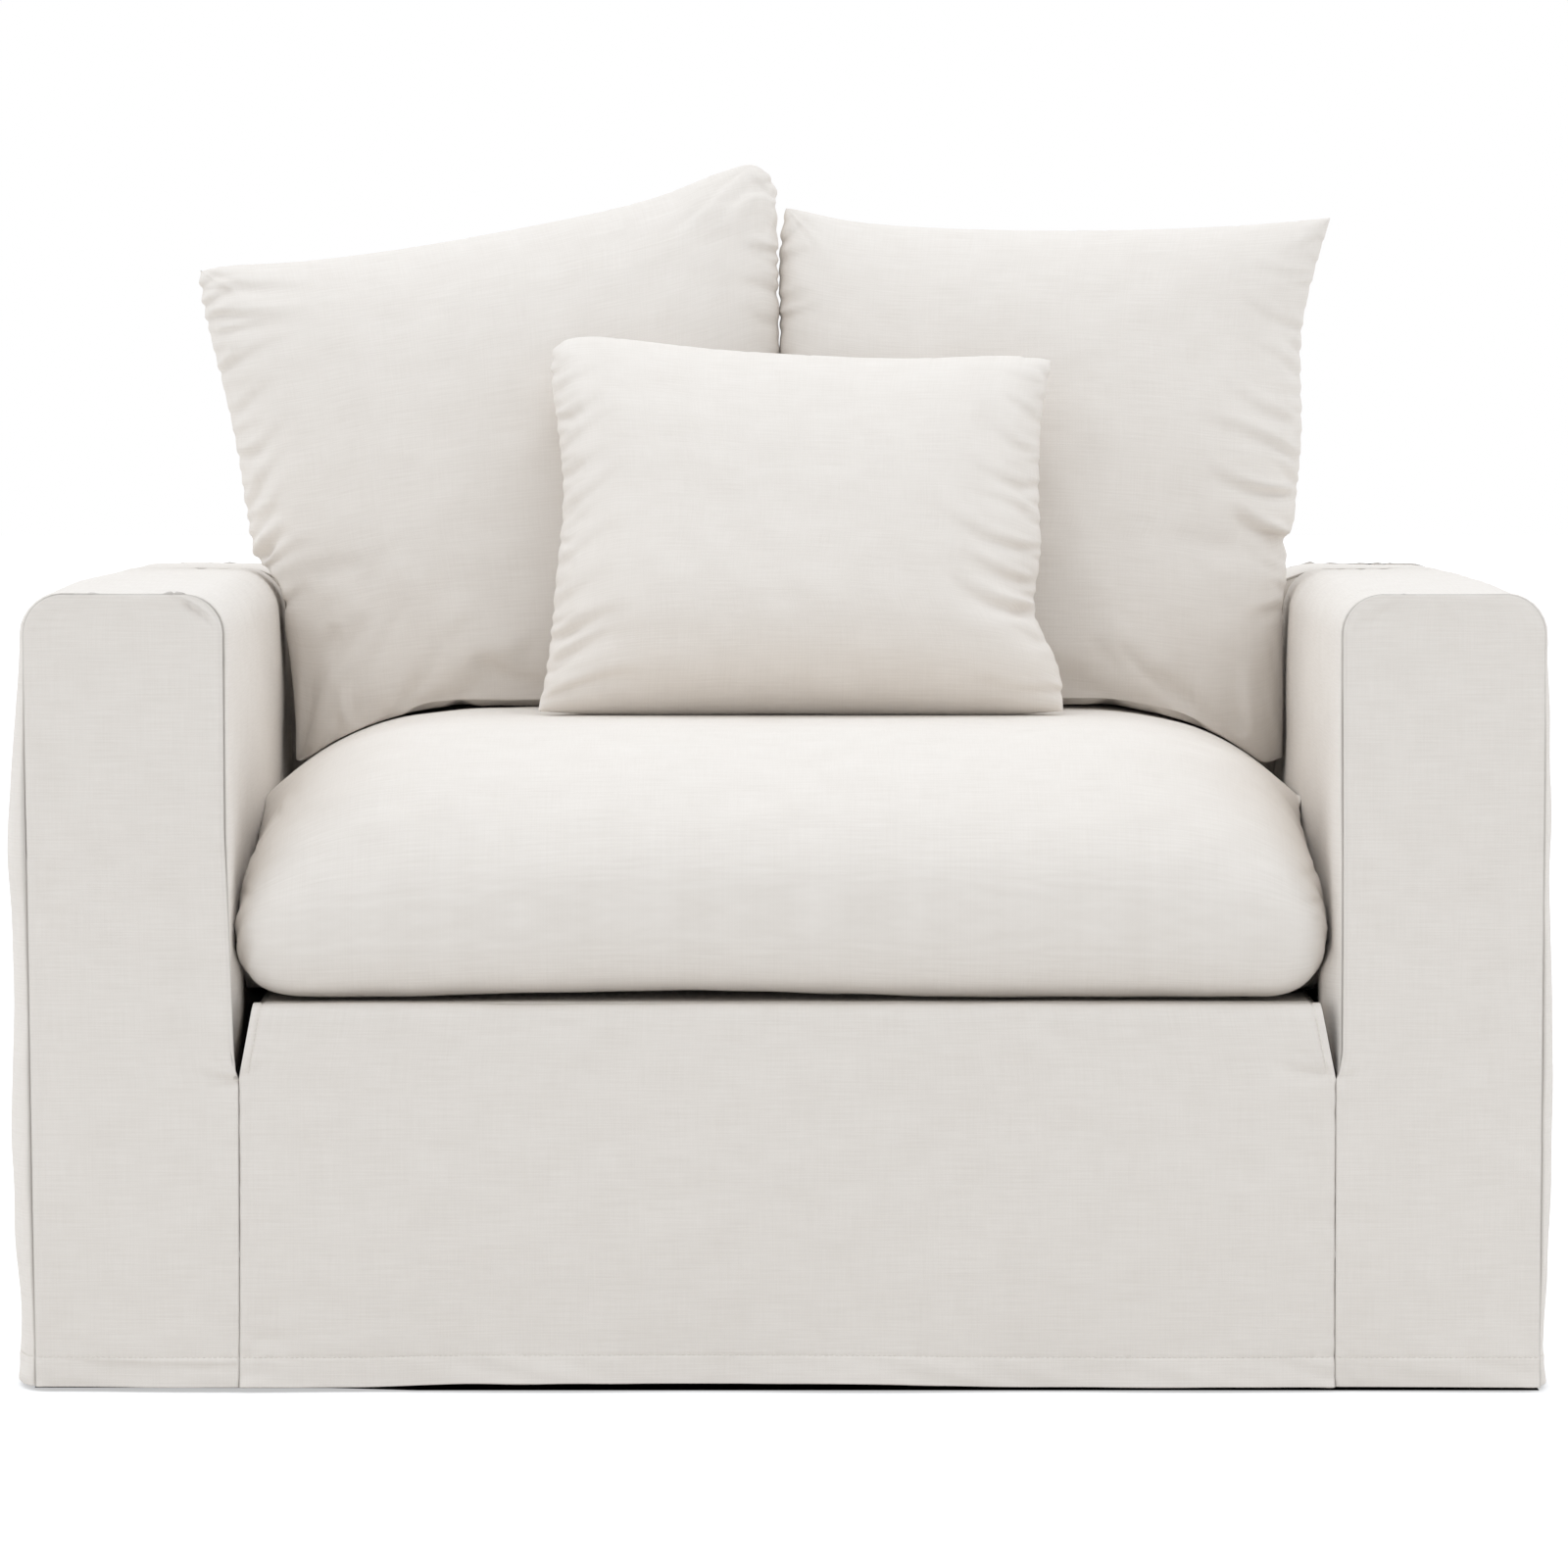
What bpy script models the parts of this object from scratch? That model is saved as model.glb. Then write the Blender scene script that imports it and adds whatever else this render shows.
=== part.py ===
"""Fitted slipcover of a wide armchair with its cushions, as hung over a frame that is left out.

Metres, +Z up. The front faces -Y, the floor is z = 0 and the middle of the footprint is the origin.
"""

import math

import bmesh
import bpy
from mathutils import Vector

# ---------------------------------------------------------------- driving sizes (metres)
WIDTH = 1.200               # across the arms, seam to seam
DEPTH = 0.950               # arm facing to outside back
ARM_HEIGHT = 0.627
ARM_WIDTH = 0.163
BACK_DEPTH = 0.170          # thickness of the low back frame
CORNER = 0.032              # rounding of the arm and back tops
DECK_HEIGHT = 0.303
TUCK = 0.058                # how far cloth runs down between the platform and an arm
CLOTH = 0.0025              # heavy lined linen
GAP = 0.0003                # between pieces that are sewn or lie together

FRONT = -DEPTH / 2
REAR = DEPTH / 2
SIDE = WIDTH / 2
ARM_INNER = SIDE - ARM_WIDTH
BACK_FRONT = REAR - BACK_DEPTH
TUCK_FOOT = DECK_HEIGHT - TUCK

PANEL_START = FRONT + CLOTH + GAP    # the side walls run between these depths
PANEL_END = REAR - CLOTH - GAP

SWELL_LEFT = 0.0150         # the loose side walls stand off the frame
SWELL_RIGHT = 0.0100
SWELL_ROUND = 0.045         # and bulge right behind their seams
TAPER_LEFT = 0.0080         # the arm facings are narrower at the foot
TAPER_RIGHT = 0.0020
REAR_SWELL = 0.0050
FACING_SWELL = 0.0020
ARM_CROWN = 0.0040
SPLAY_LEFT = 0.008          # the worn inner top edges lean outward, most at the rear
SPLAY_RIGHT = 0.008
SPLAY_START = 0.500
HEM_FLARE = 0.0060          # outward ripple of the lower edge
HEM_REACH = 0.070
HEM_WAVE = 0.260

APRON_ROLL = 0.010          # radius of the apron's top edge
APRON_RETURN = 0.020        # how far its top lies back on the platform
APRON_LEFT = 0.4305         # half widths of the apron under its slits
APRON_RIGHT = 0.4358
APRON_TOP_LEFT = 0.4195     # half widths at its top edge
APRON_TOP_RIGHT = 0.4240

SEAT_HALF = ARM_INNER - GAP
SEAT_SLACK = 0.0065         # the cushion lies against the left arm and just short of the right one
SEAT_TOP = 0.512
SEAT_NOSE = -0.485          # foremost point of the seat cushion
SEAT_NOSE_HEIGHT = 0.381
SEAT_NOSE_DROP = 0.020      # the nose sinks towards its two ends
SEAT_BOTTOM = DECK_HEIGHT + GAP
SEAT_PLATEAU = 0.220        # half width of the level middle of its top
SEAT_SIDE_FALL = 0.067
SEAT_CORNER = 0.050         # rounding of its two front corners
SEAT_BROW = -0.265          # where its top begins to fall forward
SEAT_PRESSED = -0.050       # behind this depth its ends are squared by the arms and the back cushions
SEAT_CURL = 0.070           # how far behind the nose its underside begins to rise
SEAT_END_CURL = 0.055
SEAT_SQUARE = 2.5           # how square the nose is below
SEAT_ARCH = 0.0065          # how far the nose's underside is lifted off the apron near the middle
SEAT_ARCH_X = -0.085
SEAT_ARCH_REACH = 0.170
SEAT_ARCH_END = -0.300
SEAT_END = BACK_FRONT - GAP

# Mid-surface of the back cushions: depth at a height, leaning back as they rise.
BACK_BASE_Y = 0.190
BACK_BASE_Z = 0.510
BACK_LEAN = 0.260
# Mid-surface of the scatter cushion.
SCATTER_BASE_Y = -0.040
SCATTER_LEAN = 0.560
# The slanting plane on which the scatter cushion leans.
REST_BASE_Y = 0.074
REST_SLOPE = 0.330
BACK_SLUMP = 0.140          # how far a back cushion's filling sinks at its foot
# The upright plane in which the two back cushions meet.
MEETING_X = -0.0030
MEETING_Y = 0.250
MEETING_SLANT = 0.050

# Outlines of the knife-edged cushions seen from the front, as (x, z).
LEFT_CUSHION = {
    "left": ((-0.425, 0.464), (-0.426, 0.510), (-0.430, 0.548), (-0.438, 0.585), (-0.455, 0.634),
             (-0.468, 0.690), (-0.481, 0.750), (-0.496, 0.812), (-0.515, 0.881)),
    "top": ((-0.515, 0.881), (-0.432, 0.894), (-0.303, 0.915), (-0.138, 0.948), (-0.060, 0.976),
            (-0.030, 0.985), (-0.012, 0.976)),
    "right": ((-0.001, 0.530), (0.001, 0.700), (0.000, 0.920), (-0.004, 0.955), (-0.012, 0.976)),
    "bottom": ((-0.425, 0.464), (-0.388, 0.496), (-0.307, 0.524), (-0.150, 0.530), (-0.001, 0.530)),
}
RIGHT_CUSHION = {
    "left": ((-0.006, 0.530), (-0.006, 0.700), (-0.006, 0.860), (-0.002, 0.950)),
    "top": ((-0.002, 0.950), (0.060, 0.934), (0.160, 0.927), (0.290, 0.926), (0.400, 0.930), (0.482, 0.937)),
    "right": ((0.434, 0.466), (0.437, 0.540), (0.438, 0.600), (0.431, 0.659), (0.445, 0.692),
              (0.450, 0.750), (0.453, 0.830), (0.462, 0.880), (0.482, 0.937)),
    "bottom": ((-0.006, 0.530), (0.150, 0.530), (0.300, 0.524), (0.392, 0.496), (0.434, 0.466)),
}
SCATTER_CUSHION = {
    "left": ((-0.210, 0.514), (-0.200, 0.556), (-0.194, 0.626), (-0.189, 0.690), (-0.193, 0.742),
             (-0.206, 0.824)),
    "top": ((-0.206, 0.824), (-0.169, 0.832), (-0.050, 0.820), (0.085, 0.813), (0.185, 0.815),
            (0.234, 0.813)),
    "right": ((0.238, 0.514), (0.232, 0.552), (0.213, 0.597), (0.219, 0.650), (0.218, 0.700),
              (0.222, 0.767), (0.234, 0.813)),
    "bottom": ((-0.210, 0.514), (-0.080, 0.514), (0.100, 0.514), (0.238, 0.514)),
}

# How far the corners are drawn in, as shares: lower left, lower right, upper left, upper right.
LEFT_PULLS = (0.0, 0.0, 0.025, 0.010)
RIGHT_PULLS = (0.0, 0.0, 0.015, 0.0)
SCATTER_PULLS = (0.010, 0.010, 0.035, 0.015)

# Main creases in a cushion's front: start (x, z), end (x, z), half width and depth.
LEFT_CREASES = (
    ((-0.508, 0.862), (-0.420, 0.850), 0.014, 0.010),
    ((-0.490, 0.805), (-0.435, 0.826), 0.014, 0.009),
    ((-0.462, 0.700), (-0.425, 0.735), 0.014, 0.009),
    ((-0.448, 0.640), (-0.415, 0.700), 0.015, 0.014),
)
RIGHT_CREASES = (
    ((0.452, 0.850), (0.400, 0.866), 0.014, 0.008),
    ((0.430, 0.662), (0.375, 0.720), 0.016, 0.014),
    ((0.434, 0.600), (0.400, 0.575), 0.013, 0.008),
)
SCATTER_CREASES = (
    ((0.212, 0.600), (0.150, 0.650), 0.014, 0.010),
    ((0.215, 0.690), (0.160, 0.735), 0.014, 0.007),
    ((-0.190, 0.570), (-0.120, 0.612), 0.014, 0.012),
    ((-0.190, 0.690), (-0.140, 0.745), 0.014, 0.007),
    ((-0.200, 0.535), (-0.130, 0.560), 0.013, 0.008),
)

WALL_STEPS = 7
ARC_STEPS = 4
TOP_STEPS = 3
PANEL_ROWS = (0.0, 0.02, 0.06, 0.17, 0.31, 0.45, 0.59, 0.73, 0.87, 1.0)


# ---------------------------------------------------------------- helpers
def linen(name, tint):
    """Off-white linen of one piece."""
    cloth = bpy.data.materials.new(name + "_linen")
    cloth.use_nodes = True
    shader = cloth.node_tree.nodes["Principled BSDF"]
    shader.inputs["Base Color"].default_value = (tint, tint * 0.965, tint * 0.925, 1.0)
    shader.inputs["Roughness"].default_value = 0.92
    shader.inputs["Metallic"].default_value = 0.0
    return cloth


def finish(name, shell, tint):
    """Turn a bmesh into a named object of the slipcover."""
    mesh = bpy.data.meshes.new(name)
    shell.to_mesh(mesh)
    shell.free()
    mesh.shade_smooth()
    piece = bpy.data.objects.new(name, mesh)
    piece.data.materials.append(linen(name, tint))
    slipcover.objects.link(piece)
    return piece


def sheet(name, columns, rows, place, tint):
    """One layer of cloth: a grid put at place(column, row), then thickened inward."""
    shell = bmesh.new()
    bmesh.ops.create_grid(shell, x_segments=columns, y_segments=rows, size=1.0)
    for point in shell.verts:
        column = round((point.co.x + 1.0) / 2 * columns)
        row = round((point.co.y + 1.0) / 2 * rows)
        point.co = place(column, row)
    panel = finish(name, shell, tint)
    thickness = panel.modifiers.new("thickness", "SOLIDIFY")
    thickness.thickness = CLOTH
    thickness.offset = -1.0
    thickness.use_even_offset = True
    return panel


def cushion(name, columns, rows, place, tint):
    """A filled cover: two grids sewn at their rim, put at place(a, b, side) with a and b from -1 to 1."""
    shell = bmesh.new()
    bmesh.ops.create_grid(shell, x_segments=columns, y_segments=rows, size=1.0)
    for point in shell.verts:
        point.co.z = 1.0 - max(abs(point.co.x), abs(point.co.y))
    whole = shell.verts[:] + shell.edges[:] + shell.faces[:]
    bmesh.ops.mirror(shell, geom=whole, axis="Z", merge_dist=0.0001)
    for point in shell.verts:
        side = (point.co.z > 0.0001) - (point.co.z < -0.0001)
        point.co = place(crowd(point.co.x), crowd(point.co.y), side)
    bmesh.ops.recalc_face_normals(shell, faces=shell.faces[:])
    if shell.calc_volume(signed=True) < 0:
        bmesh.ops.reverse_faces(shell, faces=shell.faces[:])
    return finish(name, shell, tint)


def crowd(t):
    """Even steps from -1 to 1, crowded towards both ends."""
    return 0.65 * math.sin(t * math.pi / 2) + 0.35 * t


def mix(a, b, t):
    return a + (b - a) * t


def bump(t):
    """0 at both ends of 0..1 and 1 in the middle."""
    return math.sin(math.pi * min(max(t, 0.0), 1.0))


def trace(points, t):
    """A smooth curve through hand-set points at the share t of its length."""
    spans = [math.dist(a, b) for a, b in zip(points, points[1:])]
    way = t * sum(spans)
    index = 0
    while index < len(spans) - 1 and way > spans[index]:
        way -= spans[index]
        index += 1
    k = way / spans[index]
    p1 = Vector(points[index])
    p2 = Vector(points[index + 1])
    p0 = Vector(points[index - 1]) if index > 0 else 2 * p1 - p2
    p3 = Vector(points[index + 2]) if index + 2 < len(points) else 2 * p2 - p1
    return 0.5 * (2 * p1 + (p2 - p0) * k + (2 * p0 - 5 * p1 + 4 * p2 - p3) * k * k
                  + (3 * p1 - p0 - 3 * p2 + p3) * k * k * k)


def hoop(left, right, left_foot, right_foot, height, radius, wall_steps, top_steps):
    """Points (x, z) up a left wall, over a round-cornered top and down a right wall."""
    shoulder = height - radius
    points = [(left, mix(left_foot, shoulder, k / wall_steps)) for k in range(wall_steps)]
    for k in range(ARC_STEPS + 1):
        angle = math.pi * (1 - 0.5 * k / ARC_STEPS)
        points.append((left + radius + radius * math.cos(angle), shoulder + radius * math.sin(angle)))
    points += [(mix(left + radius, right - radius, k / top_steps), height) for k in range(1, top_steps)]
    for k in range(ARC_STEPS + 1):
        angle = math.pi * 0.5 * (1 - k / ARC_STEPS)
        points.append((right - radius + radius * math.cos(angle), shoulder + radius * math.sin(angle)))
    points += [(right, mix(shoulder, right_foot, k / wall_steps)) for k in range(1, wall_steps + 1)]
    return points


def rounding(z):
    """How far a rounded top corner has drawn in at a height."""
    rise = max(z - (ARM_HEIGHT - CORNER), 0.0)
    return CORNER - math.sqrt(max(CORNER ** 2 - rise ** 2, 0.0))


def panel_heights(foot_steps):
    """Rows of an upright panel with rounded top corners."""
    shoulder = ARM_HEIGHT - CORNER
    rows = [shoulder * k / foot_steps for k in range(foot_steps)]
    rows += [shoulder + CORNER * math.sin(math.pi / 2 * k / ARC_STEPS) for k in range(ARC_STEPS + 1)]
    return rows


def hem_flare(along, z):
    """The lower edge swings out in soft waves."""
    fade = max(1.0 - z / HEM_REACH, 0.0) ** 2
    return HEM_FLARE * fade * (0.55 + 0.45 * math.sin(2 * math.pi * along / HEM_WAVE))


def taper(side, z):
    """How far the outer edge of an arm facing has drawn in at a height."""
    most = TAPER_LEFT if side < 0 else TAPER_RIGHT
    return most * (1 - z / ARM_HEIGHT)


def side_swell(side, y, z):
    """How far the loose side wall stands outward: not at its seams, and in full soon behind them."""
    near = min(y - PANEL_START, PANEL_END - y, SWELL_ROUND) / SWELL_ROUND
    edge = math.sqrt(max(1 - (1 - near) ** 2, 0.0))
    most = SWELL_LEFT if side < 0 else SWELL_RIGHT
    loose = most * (0.3 + 0.7 * bump(z / ARM_HEIGHT) ** 0.7)
    drawn = taper(side, z) * max(1 - (y - PANEL_START) / SWELL_ROUND, 0.0)
    return (loose + hem_flare(y, z)) * edge - drawn


def outward(x, y, z):
    """A point of an outer side wall, swollen by its own height and depth."""
    share = min(max((abs(x) - (SIDE - CORNER)) / CORNER, 0.0), 1.0)
    return x + math.copysign(side_swell(x, y, z) * share, x)


# ---------------------------------------------------------------- body cover
def arm_facing(side, name, lower_inner):
    """Front panel of one arm. Under the slit its inner edge meets the apron."""
    heights = panel_heights(8)
    columns = 6

    def place(column, row):
        z = heights[row]
        outer = SIDE - rounding(z) - taper(side, z)
        upper_inner = ARM_INNER + rounding(z)
        inner = upper_inner if z > TUCK_FOOT else lower_inner
        start, end = (-outer, -inner) if side < 0 else (inner, outer)
        x = mix(start, end, column / columns)
        y = FRONT - FACING_SWELL * bump(column / columns) * bump(z / ARM_HEIGHT) - hem_flare(x, z)
        return Vector((x, y, z))

    return sheet(name, columns, len(heights) - 1, place, 0.70)


def arm_panel(side, name, splay):
    """Outer side, top and inner side of one arm in one strip."""
    left, right = (-SIDE, -ARM_INNER) if side < 0 else (ARM_INNER, SIDE)
    left_foot, right_foot = (0.0, TUCK_FOOT) if side < 0 else (TUCK_FOOT, 0.0)
    section = hoop(left, right, left_foot, right_foot, ARM_HEIGHT, CORNER, WALL_STEPS, TOP_STEPS)
    end = BACK_FRONT - GAP
    middle = (left + right) / 2

    def place(column, row):
        x, z = section[column]
        deep = PANEL_ROWS[row]
        y = mix(PANEL_START, end, deep)
        across = 1 - ((x - middle) / (ARM_WIDTH / 2)) ** 2
        lift = ARM_CROWN * across * rounding_share(z) * bump(deep)
        if x * side > middle * side:
            x = outward(x, y, z)
        else:
            inward_share = min((middle - x) * side / (ARM_WIDTH / 2), 1.0)
            x += side * splay * inward_share * deep * lean_share(z)
        return Vector((x, y, z + lift))

    return sheet(name, len(section) - 1, len(PANEL_ROWS) - 1, place, 0.74)


def lean_share(z):
    """How much of its splay the inner wall has at a height."""
    return (max(z - SPLAY_START, 0.0) / (ARM_HEIGHT - SPLAY_START)) ** 2


def rounding_share(z):
    """0 under the rounded shoulder and 1 at the top."""
    return min(max((z - (ARM_HEIGHT - CORNER)) / CORNER, 0.0), 1.0)


def back_band():
    """Strip over the back frame, from floor to floor."""
    section = hoop(-SIDE, SIDE, 0.0, 0.0, ARM_HEIGHT, CORNER, WALL_STEPS, 12)
    shares = (0.0, 0.40, 0.74, 0.90, 1.0)

    def place(column, row):
        x, z = section[column]
        y = mix(BACK_FRONT, PANEL_END, shares[row])
        return Vector((outward(x, y, z), y, z))

    return sheet("back_band", len(section) - 1, len(shares) - 1, place, 0.72)


def inside_back():
    """Flat panel between the arms, tucked down behind the platform."""
    columns = 8
    rows = 4
    half = ARM_INNER + CORNER
    top = ARM_HEIGHT - CLOTH - GAP

    def place(column, row):
        x = mix(-half, half, column / columns)
        return Vector((x, BACK_FRONT, mix(TUCK_FOOT, top, row / rows)))

    return sheet("inside_back", columns, rows, place, 0.70)


def outside_back():
    """Rear panel, hanging free to the floor."""
    heights = panel_heights(7)
    columns = 16

    def place(column, row):
        z = heights[row]
        half = SIDE - rounding(z)
        x = mix(half, -half, column / columns)
        y = REAR + REAR_SWELL * bump(column / columns) * bump(z / ARM_HEIGHT) + hem_flare(x, z)
        return Vector((x, y, z))

    return sheet("outside_back", columns, len(heights) - 1, place, 0.72)


def seat_deck():
    """Platform cloth with a tuck running down beside each arm."""
    half = ARM_INNER - GAP
    section = hoop(-half, half, TUCK_FOOT, TUCK_FOOT, DECK_HEIGHT, 0.008, 2, 8)
    rows = 6
    start = FRONT + APRON_RETURN + GAP
    end = BACK_FRONT - GAP

    def place(column, row):
        x, z = section[column]
        left, right = deck_edges(z, min(row, 1))
        return Vector((mix(left, right, (x + half) / (2 * half)), mix(start, end, row / rows), z))

    return sheet("seat_deck", len(section) - 1, rows, place, 0.66)


def deck_edges(z, depth):
    """Left and right ends of the platform cloth. At the apron it is as wide, behind it the tucks reach the arms."""
    left, right = apron_edges(z)
    rise = (z - TUCK_FOOT) / TUCK
    half = ARM_INNER - GAP
    return mix(left, -mix(half, APRON_TOP_LEFT, rise), depth), mix(right, mix(half, APRON_TOP_RIGHT, rise), depth)


def apron_edges(z):
    """Left and right ends of the apron at a height: the slits narrow it above the tuck's foot."""
    share = max(z - TUCK_FOOT, 0.0) / TUCK
    return -mix(APRON_LEFT, APRON_TOP_LEFT, share), mix(APRON_RIGHT, APRON_TOP_RIGHT, share)


def front_apron():
    """Front skirt from the hem up, rolled back over the platform's edge."""
    turn = DECK_HEIGHT - APRON_ROLL
    profile = [(FRONT, turn * k / 8) for k in range(8)]
    for k in range(4):
        angle = math.pi / 2 * k / 3
        profile.append((FRONT + APRON_ROLL * (1 - math.cos(angle)), turn + APRON_ROLL * math.sin(angle)))
    profile.append((FRONT + APRON_RETURN, DECK_HEIGHT))
    columns = 24

    def place(column, row):
        y, z = profile[row]
        left, right = apron_edges(z)
        x = mix(left, right, column / columns)
        swell = FACING_SWELL * bump(column / columns) * bump(z / DECK_HEIGHT)
        return Vector((x, y - swell - hem_flare(x, z), z))

    return sheet("front_apron", columns, len(profile) - 1, place, 0.74)


# ---------------------------------------------------------------- cushions
def seat_top(x, y):
    """Height of the seat cushion's top: level in the middle, falling to the sides and the front."""
    nose = nose_height(x)
    sideways = min(max(abs(x) - SEAT_PLATEAU, 0.0) / (seat_half(x) - SEAT_PLATEAU), 1.0)
    rolled = nose + (SEAT_TOP - nose) * math.sqrt(1 - sideways ** 3.5)
    pressed = SEAT_TOP - SEAT_SIDE_FALL * sideways ** 3
    crest = mix(rolled, pressed, min(max((y - SEAT_BROW) / (SEAT_PRESSED - SEAT_BROW), 0.0), 1.0))
    forward = min(max(SEAT_BROW - y, 0.0) / (SEAT_BROW - seat_front(x)), 1.0)
    return nose + (crest - nose) * math.sqrt(1 - forward ** 2)


def nose_height(x):
    """Height of the seam round the seat cushion."""
    return SEAT_NOSE_HEIGHT - SEAT_NOSE_DROP * (x / SEAT_HALF) ** 2


def seat_half(x):
    """Half width of the seat cushion on the side of x."""
    return SEAT_HALF if x < 0 else SEAT_HALF - SEAT_SLACK


def seat_front(x):
    """Depth of the nose, which is drawn back round the two front corners."""
    turn = min(max(abs(x) - seat_half(x) + SEAT_CORNER, 0.0) / SEAT_CORNER, 1.0)
    return SEAT_NOSE + SEAT_CORNER * (1 - math.sqrt(1 - turn ** 2))


def seat_arch(x, y):
    """How far the underside of the nose stands off the platform."""
    forward = min(max(SEAT_ARCH_END - y, 0.0) / 0.1, 1.0)
    middle = 0.25 + 0.75 * math.exp(-((x - SEAT_ARCH_X) / SEAT_ARCH_REACH) ** 2)
    return SEAT_ARCH * middle * forward


def seat_under(x, y):
    """How near the seat's underside is to its front edge and ends: 1 at the edge, 0 where it is level."""
    sideways = seat_half(x) - abs(x)
    forward = y - SEAT_NOSE
    curl = mix(SEAT_END_CURL, SEAT_CURL, sideways / (sideways + forward + 0.001))
    sideways += SEAT_CURL * (1 - min(max(-y - 0.25, 0.0) / 0.15, 1.0))
    beside = SEAT_CORNER - sideways
    before = SEAT_CORNER - forward
    distance = SEAT_CORNER - math.hypot(max(beside, 0.0), max(before, 0.0)) - min(max(beside, before), 0.0)
    return min(max(1 - distance / curl, 0.0), 1.0)


def seat_cushion():
    """Seat cushion: level underside on the platform, flat sides against the arms, rolled front."""

    def place(a, b, side):
        x = mix(-SEAT_HALF, SEAT_HALF - SEAT_SLACK, max(0.0, min(1.0, (a * 1.045 + 1) / 2)))
        y = mix(seat_front(x), SEAT_END, min((b + 1) / 2 * 1.03, 1.0))
        if side > 0:
            z = seat_top(x, y)
        elif side < 0:
            low = SEAT_BOTTOM + seat_arch(x, y)
            under = seat_under(x, y) ** SEAT_SQUARE
            z = nose_height(x) - (nose_height(x) - low) * (1 - under) ** (1 / SEAT_SQUARE)
        else:
            z = nose_height(x)
        return Vector((x, y, z))

    return cushion("seat_cushion", 26, 20, place, 0.76)


def patch(outline, u, v):
    """A point (x, z) inside four edge curves, with u to the right and v up."""
    left = trace(outline["left"], v)
    right = trace(outline["right"], v)
    bottom = trace(outline["bottom"], u)
    top = trace(outline["top"], u)
    low = Vector(outline["bottom"][0]) * (1 - u) + Vector(outline["bottom"][-1]) * u
    high = Vector(outline["top"][0]) * (1 - u) + Vector(outline["top"][-1]) * u
    return left * (1 - u) + right * u + bottom * (1 - v) + top * v - low * (1 - v) - high * v


def fullness(a, b, power=0.50, low=2.8):
    """Share of the full thickness: none at the sewn edge, quickly full inside it."""
    up = 2.8 if b > 0 else low
    return ((1 - abs(a) ** 2.8) * (1 - abs(b) ** up)) ** power


def soft_corner(a, b, pulls):
    """Draw a place in towards the middle near a corner, by the shares at lower left, right, upper left, right."""
    pull = pulls[2 * (b > 0) + (a > 0)]
    near = max(abs(a) + abs(b) - 1.75, 0.0) / 0.25
    inward = 1 - pull * near ** 2
    return a * inward, b * inward


def creased(x, z, creases):
    """Depth of the creases at a point of a cushion's front."""
    here = Vector((x, z))
    depth = 0.0
    for start, end, half_width, deep in creases:
        first = Vector(start)
        run = Vector(end) - first
        share = min(max((here - first).dot(run) / run.length_squared, 0.0), 1.0)
        away = (here - first - run * share).length
        depth += deep * (1 - 0.6 * share) * math.exp(-(away / half_width) ** 2)
    return depth


def meeting(y):
    """Where the plane between the two back cushions lies at a depth."""
    return MEETING_X - MEETING_SLANT * (y - MEETING_Y)


def rest_plane(z):
    """Depth of the plane on which the scatter cushion leans."""
    return REST_BASE_Y + REST_SLOPE * (z - SEAT_TOP)


def arm_limit(z, splay):
    """How far sideways a back cushion may reach: the arms hold it in, and over their edge it spreads."""
    return SEAT_HALF - GAP + 1.1 * max(z - ARM_HEIGHT + 0.6 * splay, 0.0)


def back_cushion(name, outline, creases, pulls, side_of_meeting, splay, tint):
    """Knife-edged back cushion, standing on the seat and leaning on the inside back."""
    front_half = 0.125
    rear_half = 0.100

    def place(a, b, side):
        full = fullness(a, b, low=4.0)
        a, b = soft_corner(a, b, pulls)
        u = (a + 1) / 2
        v = (b + 1) / 2
        x, z = patch(outline, u, v)
        y = BACK_BASE_Y + BACK_LEAN * (z - BACK_BASE_Z)
        if side > 0:
            y -= front_half * full * (1 - 0.45 * v) - creased(x, z, creases) * min(full * 2, 1.0)
        elif side < 0:
            y += rear_half * full
        z -= BACK_SLUMP * full * (1 - v) ** 3
        x = max(-arm_limit(z, splay), min(arm_limit(z, splay), x))
        floor = seat_top(x, 0.1) + GAP + 0.006 * min(max(abs(x) - SEAT_PLATEAU, 0.0) / 0.06, 1.0)
        z = max(z, floor)
        y = max(y, rest_plane(z) + GAP / 2)
        y = min(y, BACK_FRONT - GAP + 0.5 * max(z - ARM_HEIGHT - 0.035, 0.0))
        edge = meeting(y) + side_of_meeting * GAP / 2
        x = max(x, edge) if side_of_meeting > 0 else min(x, edge)
        return Vector((x, y, z))

    return cushion(name, 24, 24, place, tint)


def scatter_cushion():
    """Small cushion standing on the seat and leaning on the back cushions."""

    def place(a, b, side):
        full = fullness(a, b, 0.56, 3.6)
        rise = 1 - 0.8 * ((b + 1) / 2) ** 2
        a, b = soft_corner(a, b, SCATTER_PULLS)
        x, z = patch(SCATTER_CUSHION, (a + 1) / 2, (b + 1) / 2)
        y = SCATTER_BASE_Y + SCATTER_LEAN * (z - SEAT_TOP)
        if side > 0:
            y -= 0.085 * full - creased(x, z, SCATTER_CREASES) * min(full * 2, 1.0)
            z += 0.040 * full * rise
        elif side < 0:
            y += 0.062 * full
            z -= 0.030 * full
        z = max(z, SEAT_TOP + GAP)
        y = min(y, rest_plane(z) - GAP / 2)
        return Vector((x, y, z))

    return cushion("scatter_cushion", 20, 20, place, 0.80)


# ---------------------------------------------------------------- build
for old in list(bpy.data.objects):
    bpy.data.objects.remove(old, do_unlink=True)
slipcover = bpy.data.collections.new("slipcover")
bpy.context.scene.collection.children.link(slipcover)

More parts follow.
